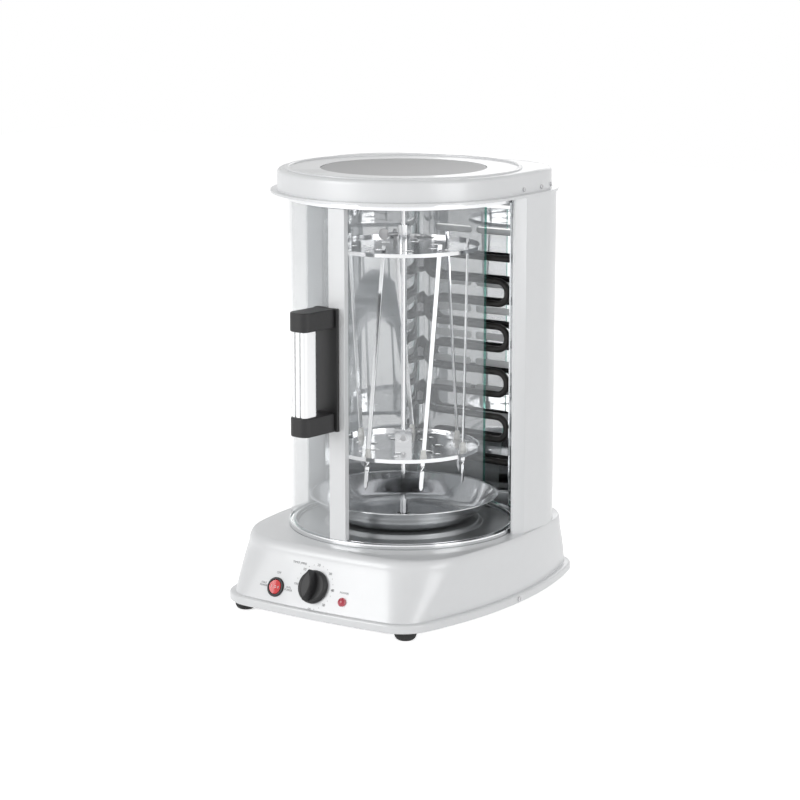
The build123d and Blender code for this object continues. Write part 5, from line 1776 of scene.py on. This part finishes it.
# ------------------------------------------------------------------ studio
@dataclass
class Studio:
    """The pale floor, the soft light and the camera."""

    camera_place: Point = (1.6053, -2.3807, 0.8157)
    camera_turn: float = 34.08
    camera_pitch: float = 11.43
    lens: float = 110.94
    floor_size: float = 9.0
    sky: float = 0.84
    zenith: float = 0.16
    backdrop: float = 1.0
    lamps_aim: Point = (0.0, 0.0, 0.25)
    floor_colour: Point = (0.94, 0.94, 0.94)
    floor_lift: float = 0.72

    def camera(self) -> None:
        """Set the camera at the photograph's angle."""
        data = bpy.data.cameras.new("camera")
        data.lens = self.lens
        data.sensor_width = 36.0
        data.clip_end = 50.0
        made = new_object("camera", data)
        made.location = self.camera_place
        made.rotation_euler = (math.radians(90.0 - self.camera_pitch), 0.0,
                               math.radians(self.camera_turn))
        bpy.context.scene.camera = made

    def lamp(self, name: str, place: Point, size: float, power: float) -> None:
        """Add one soft square lamp that looks at the middle of the grill.

        Args:
            name: The lamp's name.
            place: Where it stands.
            size: The length of its side.
            power: Its power in watts.
        """
        data = bpy.data.lights.new(name, "AREA")
        data.size = size
        data.energy = power
        made = new_object(name, data)
        made.location = place
        aim = Vector(self.lamps_aim) - Vector(place)
        made.rotation_euler = aim.to_track_quat("-Z", "Y").to_euler()

    def seen(self, tree: bpy.types.NodeTree) -> bpy.types.NodeSocket:
        """A socket that is 1 for rays that show the backdrop itself, or mirror it.

        Args:
            tree: The node tree that asks.

        Returns:
            The socket.
        """
        path = tree.nodes.new("ShaderNodeLightPath")
        both = tree.nodes.new("ShaderNodeMath")
        both.operation = "MAXIMUM"
        every = tree.nodes.new("ShaderNodeMath")
        every.operation = "MAXIMUM"
        tree.links.new(path.outputs["Is Camera Ray"], both.inputs[0])
        tree.links.new(path.outputs["Is Glossy Ray"], both.inputs[1])
        tree.links.new(both.outputs[0], every.inputs[0])
        tree.links.new(path.outputs["Is Transmission Ray"], every.inputs[1])
        return every.outputs[0]

    def world(self) -> None:
        """A pale sky that lights evenly and shows white."""
        world = bpy.data.worlds.new("studio")
        bpy.context.scene.world = world
        world.use_nodes = True
        tree = world.node_tree
        plain = tree.nodes["Background"]
        plain.inputs["Color"].default_value = (1.0, 1.0, 1.0, 1.0)
        ways = tree.nodes.new("ShaderNodeTexCoord")
        parts = tree.nodes.new("ShaderNodeSeparateXYZ")
        fade = tree.nodes.new("ShaderNodeMapRange")
        fade.inputs["To Min"].default_value = self.sky
        fade.inputs["To Max"].default_value = self.zenith
        tree.links.new(ways.outputs["Generated"], parts.inputs["Vector"])
        tree.links.new(parts.outputs["Z"], fade.inputs["Value"])
        tree.links.new(fade.outputs["Result"], plain.inputs["Strength"])
        white = tree.nodes.new("ShaderNodeBackground")
        white.inputs["Color"].default_value = (1.0, 1.0, 1.0, 1.0)
        white.inputs["Strength"].default_value = self.backdrop
        either = tree.nodes.new("ShaderNodeMixShader")
        tree.links.new(self.seen(tree), either.inputs[0])
        tree.links.new(plain.outputs[0], either.inputs[1])
        tree.links.new(white.outputs[0], either.inputs[2])
        tree.links.new(either.outputs[0], tree.nodes["World Output"].inputs["Surface"])

    def floor(self) -> None:
        """A plain pale floor that keeps the grill's soft shadow."""
        half = self.floor_size / 2
        corners = [(-half, -half, 0.0), (half, -half, 0.0), (half, half, 0.0), (-half, half, 0.0)]
        mesh = bpy.data.meshes.new("floor")
        mesh.from_pydata(corners, [], [(0, 1, 2, 3)])
        material = bpy.data.materials.new("pale_floor")
        material.use_nodes = True
        shader = material.node_tree.nodes["Principled BSDF"]
        shader.inputs["Base Color"].default_value = (*self.floor_colour, 1.0)
        shader.inputs["Roughness"].default_value = 0.9
        shader.inputs["Specular IOR Level"].default_value = 0.0
        tree = material.node_tree
        glow = tree.nodes.new("ShaderNodeEmission")
        glow.inputs["Strength"].default_value = self.floor_lift
        white = tree.nodes.new("ShaderNodeAddShader")
        tree.links.new(shader.outputs["BSDF"], white.inputs[0])
        tree.links.new(glow.outputs["Emission"], white.inputs[1])
        either = tree.nodes.new("ShaderNodeMixShader")
        tree.links.new(self.seen(tree), either.inputs[0])
        tree.links.new(shader.outputs["BSDF"], either.inputs[1])
        tree.links.new(white.outputs["Shader"], either.inputs[2])
        tree.links.new(either.outputs["Shader"], tree.nodes["Material Output"].inputs["Surface"])
        mesh.materials.append(material)
        new_object("floor", mesh)

    def build(self) -> None:
        """Set up the floor, the light and the camera."""
        self.camera()
        self.world()
        self.floor()
        self.lamp("key", (-1.2, -2.6, 1.1), size=1.6, power=28.0)
        self.lamp("side", (2.8, -0.6, 0.9), size=1.4, power=15.0)
        self.lamp("rear", (-0.8, 2.4, 1.4), size=1.4, power=8.0)
        bpy.context.scene.view_settings.view_transform = "Standard"


def main() -> None:
    """Build the dressed grill and its studio."""
    logging.basicConfig(level=logging.INFO, format="%(name)s %(message)s")
    base = Base()
    for assembly in (base, Chamber(), UpperHousing(), Heater(), Drive(), DripPan(), Cage(), Door(),
                     Controls(base=base)):
        LOG.info("building %s", type(assembly).__name__)
        assembly.build()
    Studio().build()


if __name__ == "__main__":
    main()
